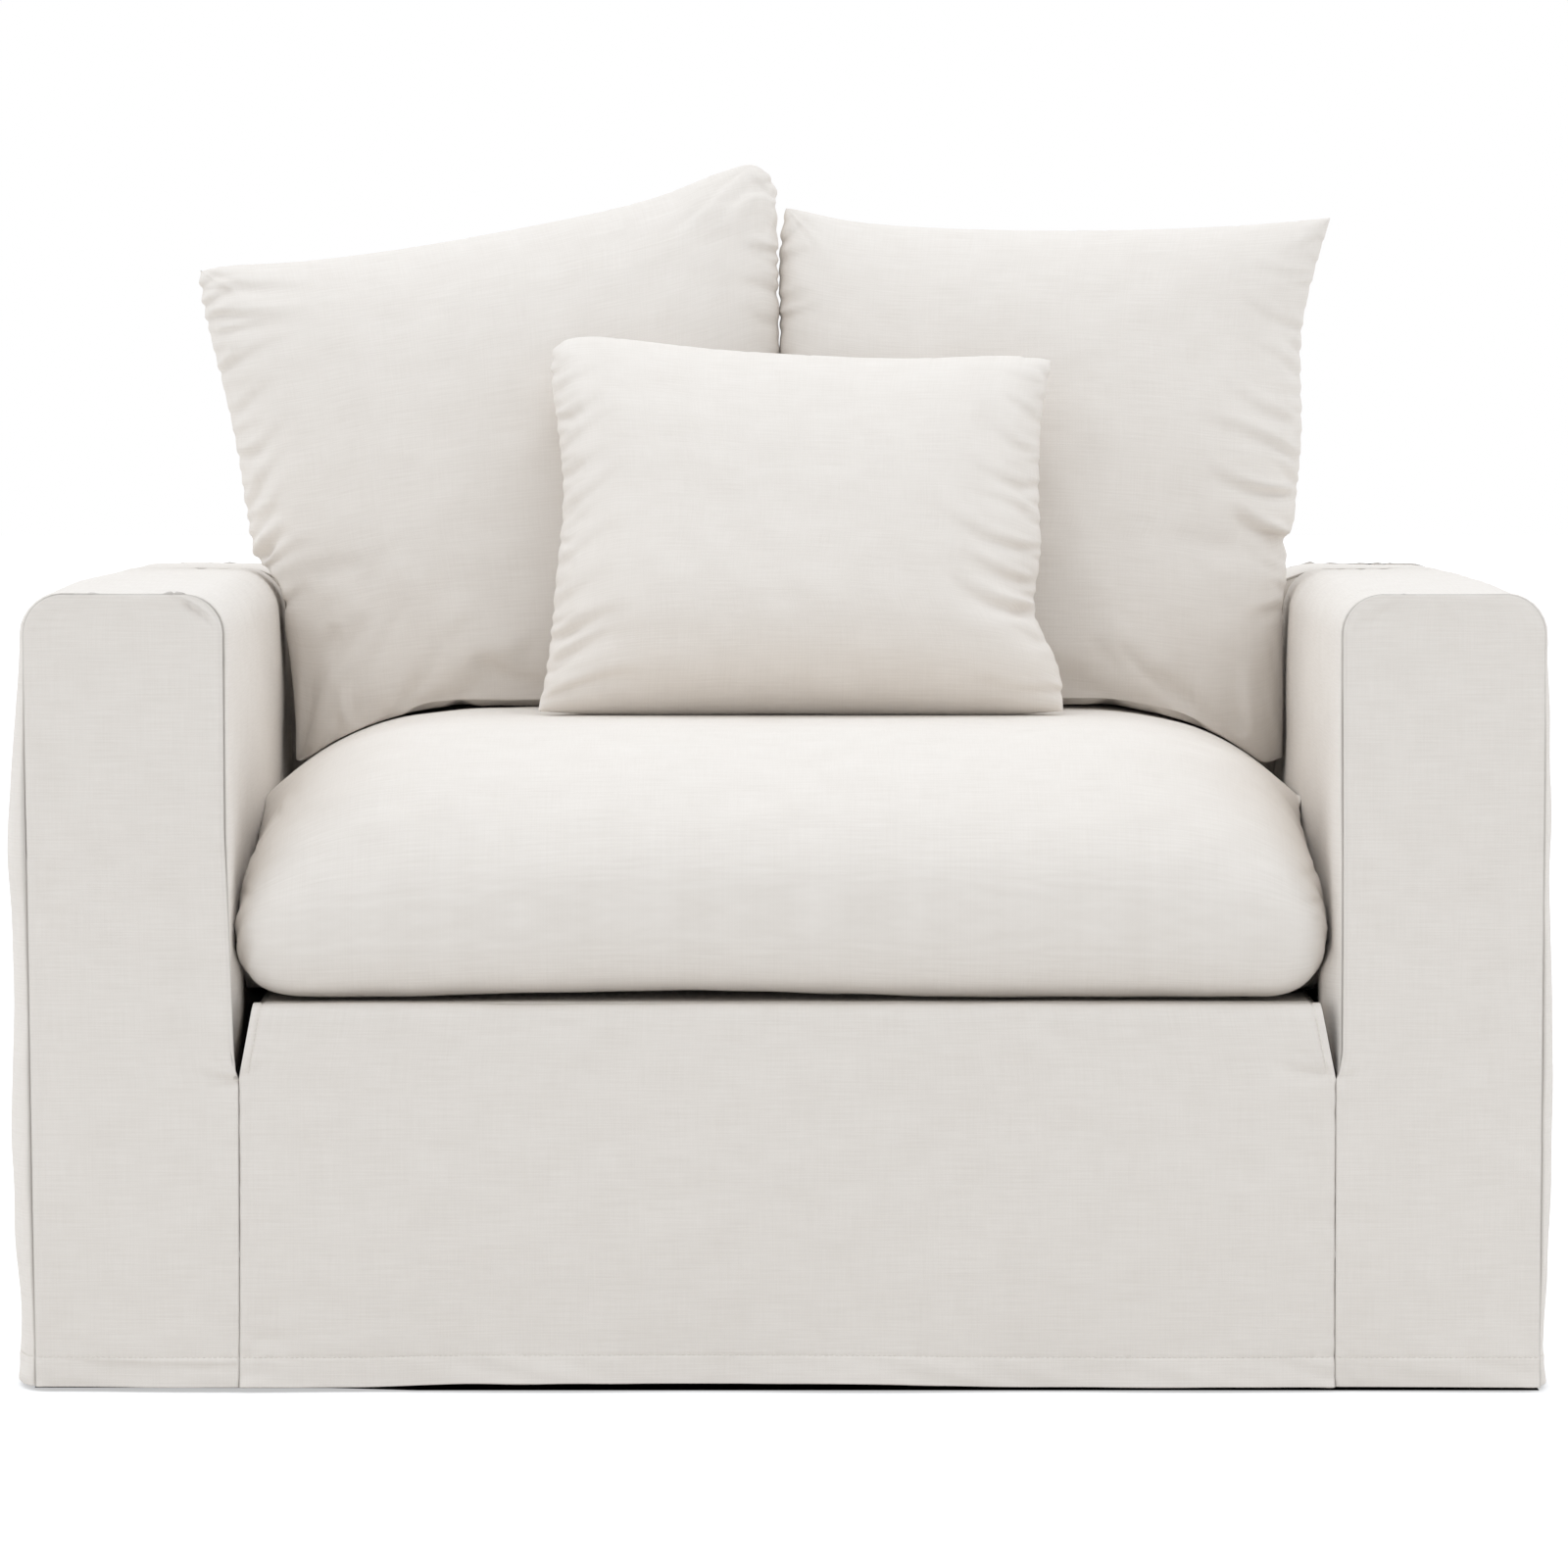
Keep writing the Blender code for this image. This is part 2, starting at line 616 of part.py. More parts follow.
arm_facing(-1, "arm_facing_left", APRON_LEFT + GAP)
arm_facing(1, "arm_facing_right", APRON_RIGHT + GAP)
arm_panel(-1, "arm_panel_left", SPLAY_LEFT)
arm_panel(1, "arm_panel_right", SPLAY_RIGHT)
back_band()
inside_back()
outside_back()
seat_deck()
front_apron()
seat_cushion()
back_cushion("back_cushion_left", LEFT_CUSHION, LEFT_CREASES, LEFT_PULLS, -1, SPLAY_LEFT, 0.74)
back_cushion("back_cushion_right", RIGHT_CUSHION, RIGHT_CREASES, RIGHT_PULLS, 1, SPLAY_RIGHT, 0.73)
scatter_cushion()
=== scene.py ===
"""Linen slipcover of a one-and-a-half-seat sofa: nine sewn panels and four filled cushions."""

import math

import bmesh
import bpy
import numpy as np
from mathutils import Matrix, Vector


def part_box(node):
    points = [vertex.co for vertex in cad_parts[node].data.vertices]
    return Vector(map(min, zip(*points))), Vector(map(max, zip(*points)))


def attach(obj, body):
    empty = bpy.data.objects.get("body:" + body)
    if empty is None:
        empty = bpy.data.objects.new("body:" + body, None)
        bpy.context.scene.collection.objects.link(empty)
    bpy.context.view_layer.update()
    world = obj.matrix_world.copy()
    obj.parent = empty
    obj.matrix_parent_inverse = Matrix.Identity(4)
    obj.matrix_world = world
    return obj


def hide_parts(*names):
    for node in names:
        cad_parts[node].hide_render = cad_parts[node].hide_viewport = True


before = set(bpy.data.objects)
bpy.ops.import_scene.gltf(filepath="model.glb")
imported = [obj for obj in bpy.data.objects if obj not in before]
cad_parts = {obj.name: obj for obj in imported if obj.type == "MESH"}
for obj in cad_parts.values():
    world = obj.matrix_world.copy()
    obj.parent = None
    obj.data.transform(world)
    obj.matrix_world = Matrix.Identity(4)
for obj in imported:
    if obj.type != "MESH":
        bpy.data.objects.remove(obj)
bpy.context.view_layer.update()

# ---------------------------------------------------------------- sizes read from the frame (metres)
CLOTH = 0.0025              # heavy lined linen
GAP = 0.0003                # between pieces that lie together
SEWN = 0.00008              # between the front's panels, which are sewn edge to edge
CORNER = 0.032              # rounding of the arm and back tops

deck_low, deck_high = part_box("seat_deck")
apron_low, apron_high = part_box("front_apron")

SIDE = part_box("outside_back")[1].x
ARM_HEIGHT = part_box("arm_facing_right")[1].z
ARM_INNER = deck_high.x + GAP
ARM_WIDTH = SIDE - ARM_INNER
DECK_HEIGHT = deck_high.z
TUCK_FOOT = deck_low.z
TUCK = DECK_HEIGHT - TUCK_FOOT
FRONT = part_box("arm_panel_right")[0].y - CLOTH - GAP
BACK_FRONT = deck_high.y + GAP
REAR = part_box("back_band")[1].y + CLOTH + GAP
DEPTH = REAR - FRONT
APRON_LEFT = -apron_low.x
APRON_RIGHT = apron_high.x
PANEL_START = FRONT + CLOTH + GAP
PANEL_END = REAR - CLOTH - GAP

SWELL_LEFT = 0.0150         # the loose side walls stand off the frame
SWELL_RIGHT = 0.0100
SWELL_ROUND = 0.045         # and bulge right behind their seams
TAPER_LEFT = 0.0080         # the arm facings are narrower at the foot
TAPER_RIGHT = 0.0020
REAR_SWELL = 0.0050
BACK_DIP = 0.016            # the back's top lies lower between the arms
FACING_SWELL = 0.0020
ARM_CROWN = 0.0040
SPLAY = 0.008               # the worn inner top edges lean outward, most at the rear
SPLAY_START = 0.500
HEM_FLARE = 0.0060          # outward ripple of the lower edge
HEM_REACH = 0.070
HEM_WAVE = 0.260
HEM_STITCH = 0.0235         # height of the hem's stitching
HEM_KICK = 0.0024           # the apron's doubled edge stands outward
HEM_ROPE = 0.0011           # and a hem twists in slanting ripples
HEM_LIFT = 0.0029           # the apron hangs clear of the floor left of its middle
APRON_ROLL = 0.010
APRON_RETURN = 0.020
APRON_TOP_LEFT = 0.4195     # half widths at the apron's top edge, between its slits
APRON_TOP_RIGHT = 0.4240
SLIT_HEM = 0.0065           # width of the hem beside a slit

SEAM_DIP = 0.0008           # groove where two panels are sewn together
SEAM_HALF = 0.0008
PAINTED_SHADE_HALF = 0.0007    # half width of the painted shade in the slit itself
ALLOWANCE = 0.0026          # a fainter line of painted shade beside the seam
ALLOWANCE_PAINTED_SHADE = 0.25
SEAM_RIDGE = 0.0003         # the folded allowance shows beside the groove
RIDGE_PLACE = 0.0065
RIDGE_HALF = 0.0035

SEAT_HALF = ARM_INNER - GAP
SEAT_SLACK = 0.0045
SEAT_TOP = 0.512
SEAT_NOSE = -0.485
SEAT_NOSE_HEIGHT = 0.381
SEAT_NOSE_DROP = 0.020      # the nose sinks towards its two ends
SEAT_BOTTOM = DECK_HEIGHT + GAP
SEAT_PLATEAU = 0.220
SEAT_SIDE_FALL = 0.067
SEAT_CORNER = 0.050
SEAT_BROW = -0.265
SEAT_PRESSED = -0.050
SEAT_CURL = 0.070
SEAT_END_CURL = 0.055
SEAT_SQUARE = 2.5
SEAT_ARCH = 0.0065
SEAT_ARCH_X = -0.085
SEAT_ARCH_REACH = 0.170
SEAT_ARCH_END = -0.300
SEAT_END = BACK_FRONT - GAP

BACK_BASE_Y = 0.190
BACK_BASE_Z = 0.510
BACK_LEAN = 0.260
BACK_SLUMP = 0.140
BACK_FRONT_HALF = 0.125
BACK_REAR_HALF = 0.100
SCATTER_BASE_Y = -0.040
SCATTER_LEAN = 0.560
REST_BASE_Y = 0.074
REST_SLOPE = 0.330
MEETING_X = -0.0030
MEETING_Y = 0.250
MEETING_SLANT = 0.050


def metres(table):
    """A table of millimetres in metres."""
    if isinstance(table, dict):
        return {name: metres(rows) for name, rows in table.items()}
    if isinstance(table, tuple):
        return tuple(metres(value) for value in table)
    return table / 1000


# Outlines of the knife-edged cushions seen from the front, as (x, z) in millimetres.
LEFT_CUSHION = metres({
    "left": ((-425, 464), (-426, 510), (-430, 548), (-438, 585), (-454.5, 631),
             (-462.5, 640), (-466.5, 655), (-472.5, 690), (-484, 750), (-500, 812), (-524, 896)),
    "top": ((-524, 896), (-432, 898), (-303, 915), (-138, 948), (-60, 976), (-30, 985), (-12, 976)),
    "right": ((-1, 530), (1, 700), (0, 920), (-4, 955), (-12, 976)),
    "bottom": ((-425, 464), (-388, 496), (-307, 524), (-150, 530), (-1, 530)),
})
RIGHT_CUSHION = metres({
    "left": ((-6, 530), (-6, 700), (-6, 860), (-2, 950)),
    "top": ((-2, 950), (60, 934), (160, 927), (290, 926), (400, 930), (483, 937)),
    "right": ((434, 466), (437, 540), (438.5, 600), (440, 640), (437.5, 656),
              (446, 667), (450, 697), (454.8, 750), (455.5, 830), (465.5, 880), (483, 937)),
    "bottom": ((-6, 530), (150, 530), (300, 524), (392, 496), (434, 466)),
})
SCATTER_CUSHION = metres({
    "left": ((-210, 514), (-200, 556), (-194, 626), (-189, 690), (-193, 742), (-206, 824)),
    "top": ((-206, 824), (-169, 832), (-50, 820), (85, 813), (185, 815), (234, 813)),
    "right": ((238, 514), (232, 552), (213, 597), (219, 650), (218, 700),
              (222, 767), (234, 813)),
    "bottom": ((-210, 514), (-80, 514), (100, 514), (238, 514)),
})

# How far the corners are drawn in, as shares: lower left, lower right, upper left, upper right.
LEFT_PULLS = (0.0, 0.0, 0.025, 0.010)
RIGHT_PULLS = (0.0, 0.0, 0.015, 0.0)
SCATTER_PULLS = (0.010, 0.010, 0.035, 0.015)

# Creases in millimetres: start (x, z), end (x, z), half width at each, depth and bend.
LEFT_CREASES = metres((
    ((-514, 872), (-395, 868), 2.2, 5.8, 4.4, 4),
    ((-508, 852), (-412, 852), 2, 4.8, 4.2, -3),
    ((-503, 832), (-422, 844), 2, 4.6, 3.6, 3),
    ((-494, 800), (-425, 832), 2.4, 5.5, 2.8, 4),
    ((-484, 760), (-432, 800), 2.4, 5, 2.2, 3),
    ((-476, 722), (-425, 770), 2.4, 5.5, 2.5, -4),
    ((-466, 686), (-420, 742), 2.4, 6, 3.4, 5),
    ((-462, 664), (-428, 712), 2.4, 5, 3.1, -3),
    ((-460, 636), (-428, 666), 2.6, 5.2, 12, 3),
    ((-452, 630), (-396, 654), 2.4, 6, 4.6, 5),
    ((-372, 500), (-366, 552), 3.5, 7.2, 3.1, 3),
    ((-330, 512), (-318, 560), 3.5, 7.7, 2.2, -3),
    ((-3, 905), (-45, 918), 2.4, 5, 1.9, 2),
    ((-2, 872), (-50, 880), 2.4, 5, 2.2, -2),
    ((-2, 842), (-40, 858), 2.4, 4.5, 1.9, 2),
))
RIGHT_CREASES = metres((
    ((472, 918), (430, 900), 2.4, 5, 1.9, 2),
    ((462, 886), (405, 892), 2.4, 5.5, 1.9, 3),
    ((455, 838), (392, 868), 2.4, 6, 2.8, 4),
    ((452, 800), (402, 824), 2.4, 5.5, 2.5, -3),
    ((450, 756), (372, 796), 2.4, 7.2, 3.7, 6),
    ((448, 726), (352, 758), 2.2, 6, 4.8, -5),
    ((442, 694), (362, 716), 2.2, 5.2, 7, 6),
    ((440, 656), (386, 682), 2.6, 5.4, 11, 5),
    ((434, 628), (395, 648), 2.4, 5, 2.2, 2),
    ((436, 596), (398, 584), 2.4, 5, 3.1, -2),
    ((398, 490), (392, 560), 3.5, 7.7, 3.7, 4),
    ((350, 506), (338, 560), 3.5, 7.7, 2.2, -3),
    ((-4, 900), (34, 906), 2.4, 4.5, 1.5, 2),
    ((-4, 860), (30, 870), 2.4, 4.5, 1.5, -2),
))
SCATTER_CREASES = metres((
    ((-204, 806), (-170, 812), 2.4, 4.5, 1.9, 2),
    ((-200, 780), (-152, 806), 2.4, 4.5, 2.5, 3),
    ((-196, 758), (-148, 786), 2.4, 4.5, 2.5, -2),
    ((-192, 734), (-140, 768), 2.4, 5, 2.8, 3),
    ((-190, 708), (-146, 738), 2.4, 4.5, 2.5, 2),
    ((-190, 684), (-134, 724), 2.4, 5, 3.1, -3),
    ((-192, 660), (-144, 698), 2.4, 4.5, 2.8, 2),
    ((-193, 634), (-140, 672), 2.4, 5, 2.8, 3),
    ((-195, 606), (-148, 636), 2.4, 5, 2.5, -2),
    ((-198, 572), (-120, 604), 2.2, 6, 5.6, 6),
    ((-204, 548), (-134, 586), 2.2, 5.2, 7.5, 5),
    ((-209, 522), (-110, 548), 2.2, 6.4, 6.2, 5),
    ((226, 790), (180, 804), 2.4, 4.5, 1.9, 2),
    ((222, 762), (176, 790), 2.4, 4.5, 2.2, 3),
    ((219, 730), (164, 764), 2.4, 5.5, 2.8, 4),
    ((218, 702), (140, 736), 2.4, 6.6, 3.4, 7),
    ((219, 676), (144, 700), 2.4, 6, 3.4, -5),
    ((219, 650), (120, 690), 2.2, 6, 5, 8),
    ((216, 622), (144, 654), 2.2, 5.2, 5.2, 6),
    ((213, 600), (136, 630), 2.2, 5.8, 8.8, 7),
    ((222, 572), (170, 606), 2.4, 5, 2.5, 4),
    ((234, 530), (150, 544), 2.4, 5.5, 2.8, 3),
))

SEAT_CREASES = metres((
    ((425, 405), (402, 408), 1.6, 3.6, 1.6, 1),
    ((425, 384), (406, 385), 1.4, 2.8, 1.8, -1),
    ((424, 369), (410, 369), 1.4, 2.6, 1.5),
    ((422, 350), (406, 347), 1.4, 2.8, 1.6, 1),
    ((-416, 470), (-384, 460), 1.8, 4.4, 1.8, 2),
    ((-420, 452), (-392, 448), 1.6, 3.6, 1.6, -1),
    ((-430, 418), (-410, 420), 1.6, 3.2, 1.2),
    ((-432, 390), (-416, 388), 1.4, 2.8, 1.4),
    ((-430, 362), (-412, 364), 1.4, 2.8, 1.4),
))

# Linen, as linear colours.
LINEN_LIGHT = (0.860, 0.810, 0.755, 1.0)
LINEN_DARK = (0.775, 0.720, 0.660, 1.0)
# Painted shade: the colour of the shade in the slits of seams and along the allowance's edge.
PAINTED_SEAM_SHADE = (0.600, 0.560, 0.515, 1.0)
THREAD_COLOUR = (0.680, 0.630, 0.570, 1.0)
THREAD_PITCH = 0.00085      # from one thread of the weave to the next

CAMERA_HEIGHT = 0.810
CAMERA_DISTANCE = 6.200     # from the front of the arms
CAMERA_TILT = math.radians(3.07)
CAMERA_LENS = 180.9
SENSOR = 36.0
FLOOR_TONE = (0.60, 0.60, 0.60, 1.0)
FLOOR_BOUNCE = (0.800, 0.785, 0.765, 1.0)   # how much of the light the floor throws back up
FLOOR_DROP = 0.004          # the hem hangs just clear of the floor
FLOOR_GLOW = 0.50           # keeps the floor white to the eye, with a faint shade at the hem
# Painted shadow: a dark sheet on the floor under the cover.
PAINTED_SHADOW_COLOUR = (0.034, 0.030, 0.027, 1.0)
PAINTED_SHADOW_LIFT = 0.0005          # the painted shadow sheet lies just above the floor
WHITE = (1.0, 1.0, 1.0, 1.0)

# Large soft lights round the stage: azimuth, height, narrowness and strength.
SOFT_LIGHTS = (
    (-90.0, 40.0, 4.0, 0.90),
    (90.0, 40.0, 4.0, 0.65),
    (0.0, 90.0, 4.0, 0.90),
)
EVEN_LIGHT = 0.78
LIGHT_TINT = (0.82, 0.85, 0.885, 1.0)


# ---------------------------------------------------------------- shapes of numbers
def mix(a, b, t):
    return a + (b - a) * t


def clamp(t, low=0.0, high=1.0):
    return np.clip(t, low, high)


def ease(t):
    """From 0 to 1 with level ends."""
    t = clamp(t)
    return t * t * (3 - 2 * t)


def bump(t):
    """0 at both ends of 0..1 and 1 in the middle."""
    return np.sin(math.pi * clamp(t))


def bell(distance, half_width):
    return np.exp(-(distance / half_width) ** 2)


def ripple(u, v, length, seed):
    """Smooth unevenness between about -1 and 1, whose humps lie about one length apart."""
    chance = np.random.default_rng(seed)
    total = 0.0
    for turn, start, stretch in chance.uniform((0, 0, 0.7), (math.pi, 2 * math.pi, 1.3), (7, 3)):
        way = u * math.cos(turn) + v * math.sin(turn)
        total = total + np.sin(way * 2 * math.pi * stretch / length + start)
    return total / 3.5


def trace(points, t):
    """A smooth curve through given points at the shares t of its length."""
    points = np.array(points)
    spans = np.linalg.norm(np.diff(points, axis=0), axis=1)
    ends = np.concatenate(([0.0], np.cumsum(spans)))
    way = np.asarray(t) * ends[-1]
    index = clamp(np.searchsorted(ends, way, side="right") - 1, 0, len(spans) - 1)
    k = ((way - ends[index]) / spans[index])[..., None]
    padded = np.vstack((2 * points[0] - points[1], points, 2 * points[-1] - points[-2]))
    p0, p1, p2, p3 = (padded[index + step] for step in range(4))
    return 0.5 * (2 * p1 + (p2 - p0) * k + (2 * p0 - 5 * p1 + 4 * p2 - p3) * k ** 2
                  + (3 * p1 - p0 - 3 * p2 + p3) * k ** 3)


def ruler(length, fine=(), coarse=0.0055, finest=0.0007, growth=0.22):
    """Marks from 0 to a length, crowded round the fine places."""
    marks = [0.0]
    while marks[-1] < length:
        near = min((abs(marks[-1] - place) for place in fine), default=length)
        marks.append(marks[-1] + min(coarse, finest + growth * near))
    return np.array(marks) * length / marks[-1]


# ---------------------------------------------------------------- materials
class Socket:
    """One output of a node, on which sums are written as on a number."""

    def __init__(self, dye, output):
        self.dye = dye
        self.output = output

    def maths(self, operation, *values):
        return self.dye.node("ShaderNodeMath", {"operation": operation}, dict(enumerate(values)))

    def __add__(self, other):
        return self.maths("ADD", self, other)

    def __sub__(self, other):
        return self.maths("SUBTRACT", self, other)

    def __rsub__(self, other):
        return self.maths("SUBTRACT", other, self)

    def __mul__(self, other):
        return self.maths("MULTIPLY", self, other)

    __radd__ = __add__
    __rmul__ = __mul__

    def wave(self):
        return self.maths("SINE", self)


class Dye:
    """The nodes of a material or of the surroundings, under construction."""

    def __init__(self, owner):
        self.owner = owner
        owner.use_nodes = True
        self.tree = owner.node_tree
        self.shader = self.tree.nodes.get("Principled BSDF") or self.tree.nodes["Background"]

    def node(self, kind, settings, values, output=0):
        """A node of a type, with its settings made first and then its sockets filled or linked."""
        made = self.tree.nodes.new(kind)
        for key, value in settings.items():
            setattr(made, key, value)
        self.fill(made, values)
        return Socket(self, made.outputs[output])

    def fill(self, node, values):
        for key, value in values.items():
            if isinstance(value, Socket):
                self.tree.links.new(value.output, node.inputs[key])
            else:
                node.inputs[key].default_value = value

    def blend(self, share, first, second):
        """From the first colour at share 0 to the second at 1."""
        return self.node("ShaderNodeMix", {"data_type": "RGBA"}, {0: share, 6: first, 7: second}, 2)

    def grain(self, weave, across, up):
        """Noise on the weave, with so many humps a metre across and up."""
        spot = self.node("ShaderNodeMapping", {}, {"Vector": weave, "Scale": (across, up, 1.0)})
        values = {"Vector": spot, "Scale": 1.0, "Detail": 3.0, "Roughness": 0.55}
        return self.node("ShaderNodeTexNoise", {"noise_dimensions": "2D"}, values)


def linen():
    """Plain-woven linen with uneven threads: long slubs across, fainter ones up, and soft mottling, with
    painted shade in the slits of its seams.
    """
    dye = Dye(bpy.data.materials.new("linen"))
    weave = dye.node("ShaderNodeUVMap", {"uv_map": "weave"}, {})
    place = dye.node("ShaderNodeSeparateXYZ", {}, {0: weave})
    up = Socket(dye, place.output.node.outputs[1])
    weft = dye.grain(weave, 22.0, 760.0)
    warp = dye.grain(weave, 760.0, 26.0)
    mottle = dye.grain(weave, 30.0, 34.0)
    shade = 0.5 + 0.95 * (weft - 0.5) + 0.55 * (warp - 0.5) + 0.50 * (mottle - 0.5)
    cloth = dye.blend(shade, LINEN_DARK, LINEN_LIGHT)
    # Share of painted seam shade, kept on each piece's points under the name seam.
    slit = dye.node("ShaderNodeAttribute", {"attribute_name": "seam"}, {}, "Fac")
    turns = 2 * math.pi / THREAD_PITCH
    threads = (place * turns).wave() * (up * turns).wave()
    height = threads * 0.35 + weft * 0.9 + warp * 0.6
    relief = {"Strength": 0.30, "Distance": 0.0005, "Height": height}
    dye.fill(dye.shader, {
        "Base Color": dye.blend(slit, cloth, PAINTED_SEAM_SHADE),
        "Roughness": 0.84 + 0.12 * weft,
        "Normal": dye.node("ShaderNodeBump", {}, relief),
        "Specular IOR Level": 0.25,
        "Sheen Weight": 0.10,
        "Sheen Roughness": 0.60,
    })
    return dye.owner


def thread():
    """Sewing thread, a little darker than the cloth."""
    dye = Dye(bpy.data.materials.new("sewing_thread"))
    place = dye.node("ShaderNodeTexCoord", {}, {}, "Object")
    twist = dye.node("ShaderNodeTexNoise", {}, {"Vector": place, "Scale": 900.0, "Detail": 1.0})
    dye.fill(dye.shader, {
        "Base Color": dye.blend(twist, THREAD_COLOUR, LINEN_LIGHT),
        "Roughness": 0.70,
        "Specular IOR Level": 0.30,
    })
    return dye.owner


LINEN = linen()
THREAD = thread()


# ---------------------------------------------------------------- making pieces
def finish(name, shell, points, weave, material, node=None):
    """Turn a bmesh into a piece at its points, with its threads' places as a UV map."""
    mesh = bpy.data.meshes.new(name)
    shell.to_mesh(mesh)
    shell.free()
    mesh.vertices.foreach_set("co", points.reshape(-1).astype(np.float32))
    if weave is not None:
        corner_points = np.zeros(len(mesh.loops), np.int32)
        mesh.loops.foreach_get("vertex_index", corner_points)
        threads = mesh.uv_layers.new(name="weave")
        threads.uv.foreach_set("vector", weave.reshape(-1, 2)[corner_points].reshape(-1).astype(np.float32))
    mesh.materials.append(material)
    mesh.shade_smooth()
    mesh.update()
    piece = bpy.data.objects.new(name, mesh)
    bpy.context.scene.collection.objects.link(piece)
    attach(piece, "root")
    if node:
        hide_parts(node)
    return piece


def keep(mesh, name, values):
    """Remember one number for each point of a mesh."""
    mesh.attributes.new(name, "FLOAT", "POINT").data.foreach_set("value", values.astype(np.float32))


def facing_out(points):
    """Unit normals of a grid of points, outward where its columns cross its rows."""
    across = np.gradient(points, axis=1)
    along = np.gradient(points, axis=0)
    normals = np.cross(across, along)
    return normals / np.maximum(np.linalg.norm(normals, axis=-1, keepdims=True), 1e-12)


class Panel:
    """One layer of sewn linen: a grid at its marks across and along, put in place and thickened inward."""

    def __init__(self, node, across, along, place, relief, shade, flat, held, turned=False):
        self.across = across
        self.along = along
        u, v = np.meshgrid(across, along)
        base = np.stack(place(u, v), axis=-1)
        self.points = base + facing_out(base) * relief(u, v)[..., None]
        self.normals = facing_out(self.points)
        shell = bmesh.new()
        bmesh.ops.create_grid(shell, x_segments=len(across) - 1, y_segments=len(along) - 1, size=1.0)
        weave = np.stack((v, u) if turned else (u, v), axis=-1)
        self.piece = finish("linen_" + node, shell, self.points, weave, LINEN, node)
        # Each piece keeps its share of painted seam shade on its points, for the linen's colour.
        keep(self.piece.data, "seam", shade(u, v).reshape(-1))
        thickness = self.piece.modifiers.new("thickness", "SOLIDIFY")
        thickness.thickness = CLOTH
        thickness.offset = -1.0

    def at(self, u, v):
        """Points and normals of the outer face at places across and along."""
        column = np.interp(u, self.across, np.arange(len(self.across)))
        row = np.interp(v, self.along, np.arange(len(self.along)))
        left = clamp(column.astype(int), 0, len(self.across) - 2)
        low = clamp(row.astype(int), 0, len(self.along) - 2)
        s = (column - left)[:, None]
        t = (row - low)[:, None]
        found = []
        for grid in (self.points, self.normals):
            lower = mix(grid[low, left], grid[low, left + 1], s)
            upper = mix(grid[low + 1, left], grid[low + 1, left + 1], s)
            found.append(mix(lower, upper, t))
        return found


# ---------------------------------------------------------------- relief of sewn cloth
def painted_shade_share(distance):
    """Share of painted shade in the slit between two panels at a distance from their seam."""
    return bell(distance, PAINTED_SHADE_HALF)


def unshaded(u, v):
    """No seam to be seen, so no painted seam shade."""
    return np.zeros_like(u)


def seam(distance):
    """The cloth dips into a seam, beside the ridge of its allowance."""
    return SEAM_RIDGE * bell(distance - RIDGE_PLACE, RIDGE_HALF) - SEAM_DIP * bell(distance, SEAM_HALF)


def pucker(along, distance, seed, height=0.0007, reach=0.016):
    """Small gathers along a seam, dying away from it."""
    return height * ripple(along, 0.3 * distance, 0.016, seed) * np.exp(-distance / reach)


def hem(along, height, seed):
    """The turned-up hem: double below its stitching, with a groove, gathers and slanting ripples."""
    below = clamp(1 - height / HEM_STITCH)
    rope = HEM_ROPE * bump(below) * ripple(along + 2.2 * height, 0.0, 0.080, seed + 5)
    groove = 0.0005 * bell(height - HEM_STITCH, 0.0010)
    double = 0.0004 * (1 - ease((height - HEM_STITCH) / 0.003 + 0.5))
    near = np.exp(-np.abs(height - HEM_STITCH) / 0.012)
    gathers = 0.0006 * ripple(along, height * 0.4, 0.014, seed) * near
    return double - groove + gathers + rope


def slack(u, v, seed, height=0.0010):
    """Long soft unevenness of cloth that hangs loose."""
    return height * (ripple(u, v * 0.7, 0.24, seed) + 0.35 * ripple(u, v * 1.6, 0.085, seed + 1))


def fold(x, z, start, end, near, far, depth, bend=0.0):
    """A crease from a pinch at its start to nothing at its end, steep above, where it has a lip."""
    run_x, run_z = end[0] - start[0], end[1] - start[1]
    length = math.hypot(run_x, run_z)
    along = ((x - start[0]) * run_x + (z - start[1]) * run_z) / length ** 2
    share = clamp(along)
    past = (along - share) * length
    aside = ((z - start[1]) * run_x - (x - start[0]) * run_z) / length - 4 * bend * share * (1 - share)
    aside = aside * math.copysign(1.0, run_x)
    width = mix(near, far, share)
    fade = (1 - share) * np.minimum(1.0, 0.5 + 3 * share) * bell(past, near)
    groove = bell(aside, np.where(aside > 0, width, 2.4 * width))
    lip = 0.40 * bell(aside - 2.2 * width, 1.2 * width)
    return fade * depth * (lip - groove)


def folds(x, z, rows):
    """All the creases of a table together."""
    total = 0.0
    for row in rows:
        total = total + fold(x, z, *row)
    return total


def gathers(curve, inward, first, last, spacing, reach, depth, tilt, seed):
    """Rows of small creases that start all along one sewn edge and run inwards with a tilt."""
    chance = np.random.default_rng(seed)
    points = np.array(curve)
    span = np.linalg.norm(np.diff(points, axis=0), axis=1).sum()
    rows = []
    place = first * span
    while place < last * span:
        size = chance.uniform(0.35, 1.45)
        start = trace(points, np.array([place / span]))[0]
        angle = math.radians(tilt + chance.uniform(-22, 22))
        length = reach * size * chance.uniform(0.7, 1.3)
        end = start + length * np.array((inward * math.cos(angle), math.sin(angle)))
        bend = chance.uniform(-0.08, 0.08) * length
        rows.append((tuple(start), tuple(end), 0.0018, 0.0048, depth * size, bend))
        place += spacing * chance.uniform(0.6, 1.4)
    return tuple(rows)


# ---------------------------------------------------------------- body cover
def rounding(z):
    """How far a rounded top corner has drawn in at a height."""
    rise = np.maximum(z - (ARM_HEIGHT - CORNER), 0.0)
    return CORNER - np.sqrt(np.maximum(CORNER ** 2 - rise ** 2, 0.0))


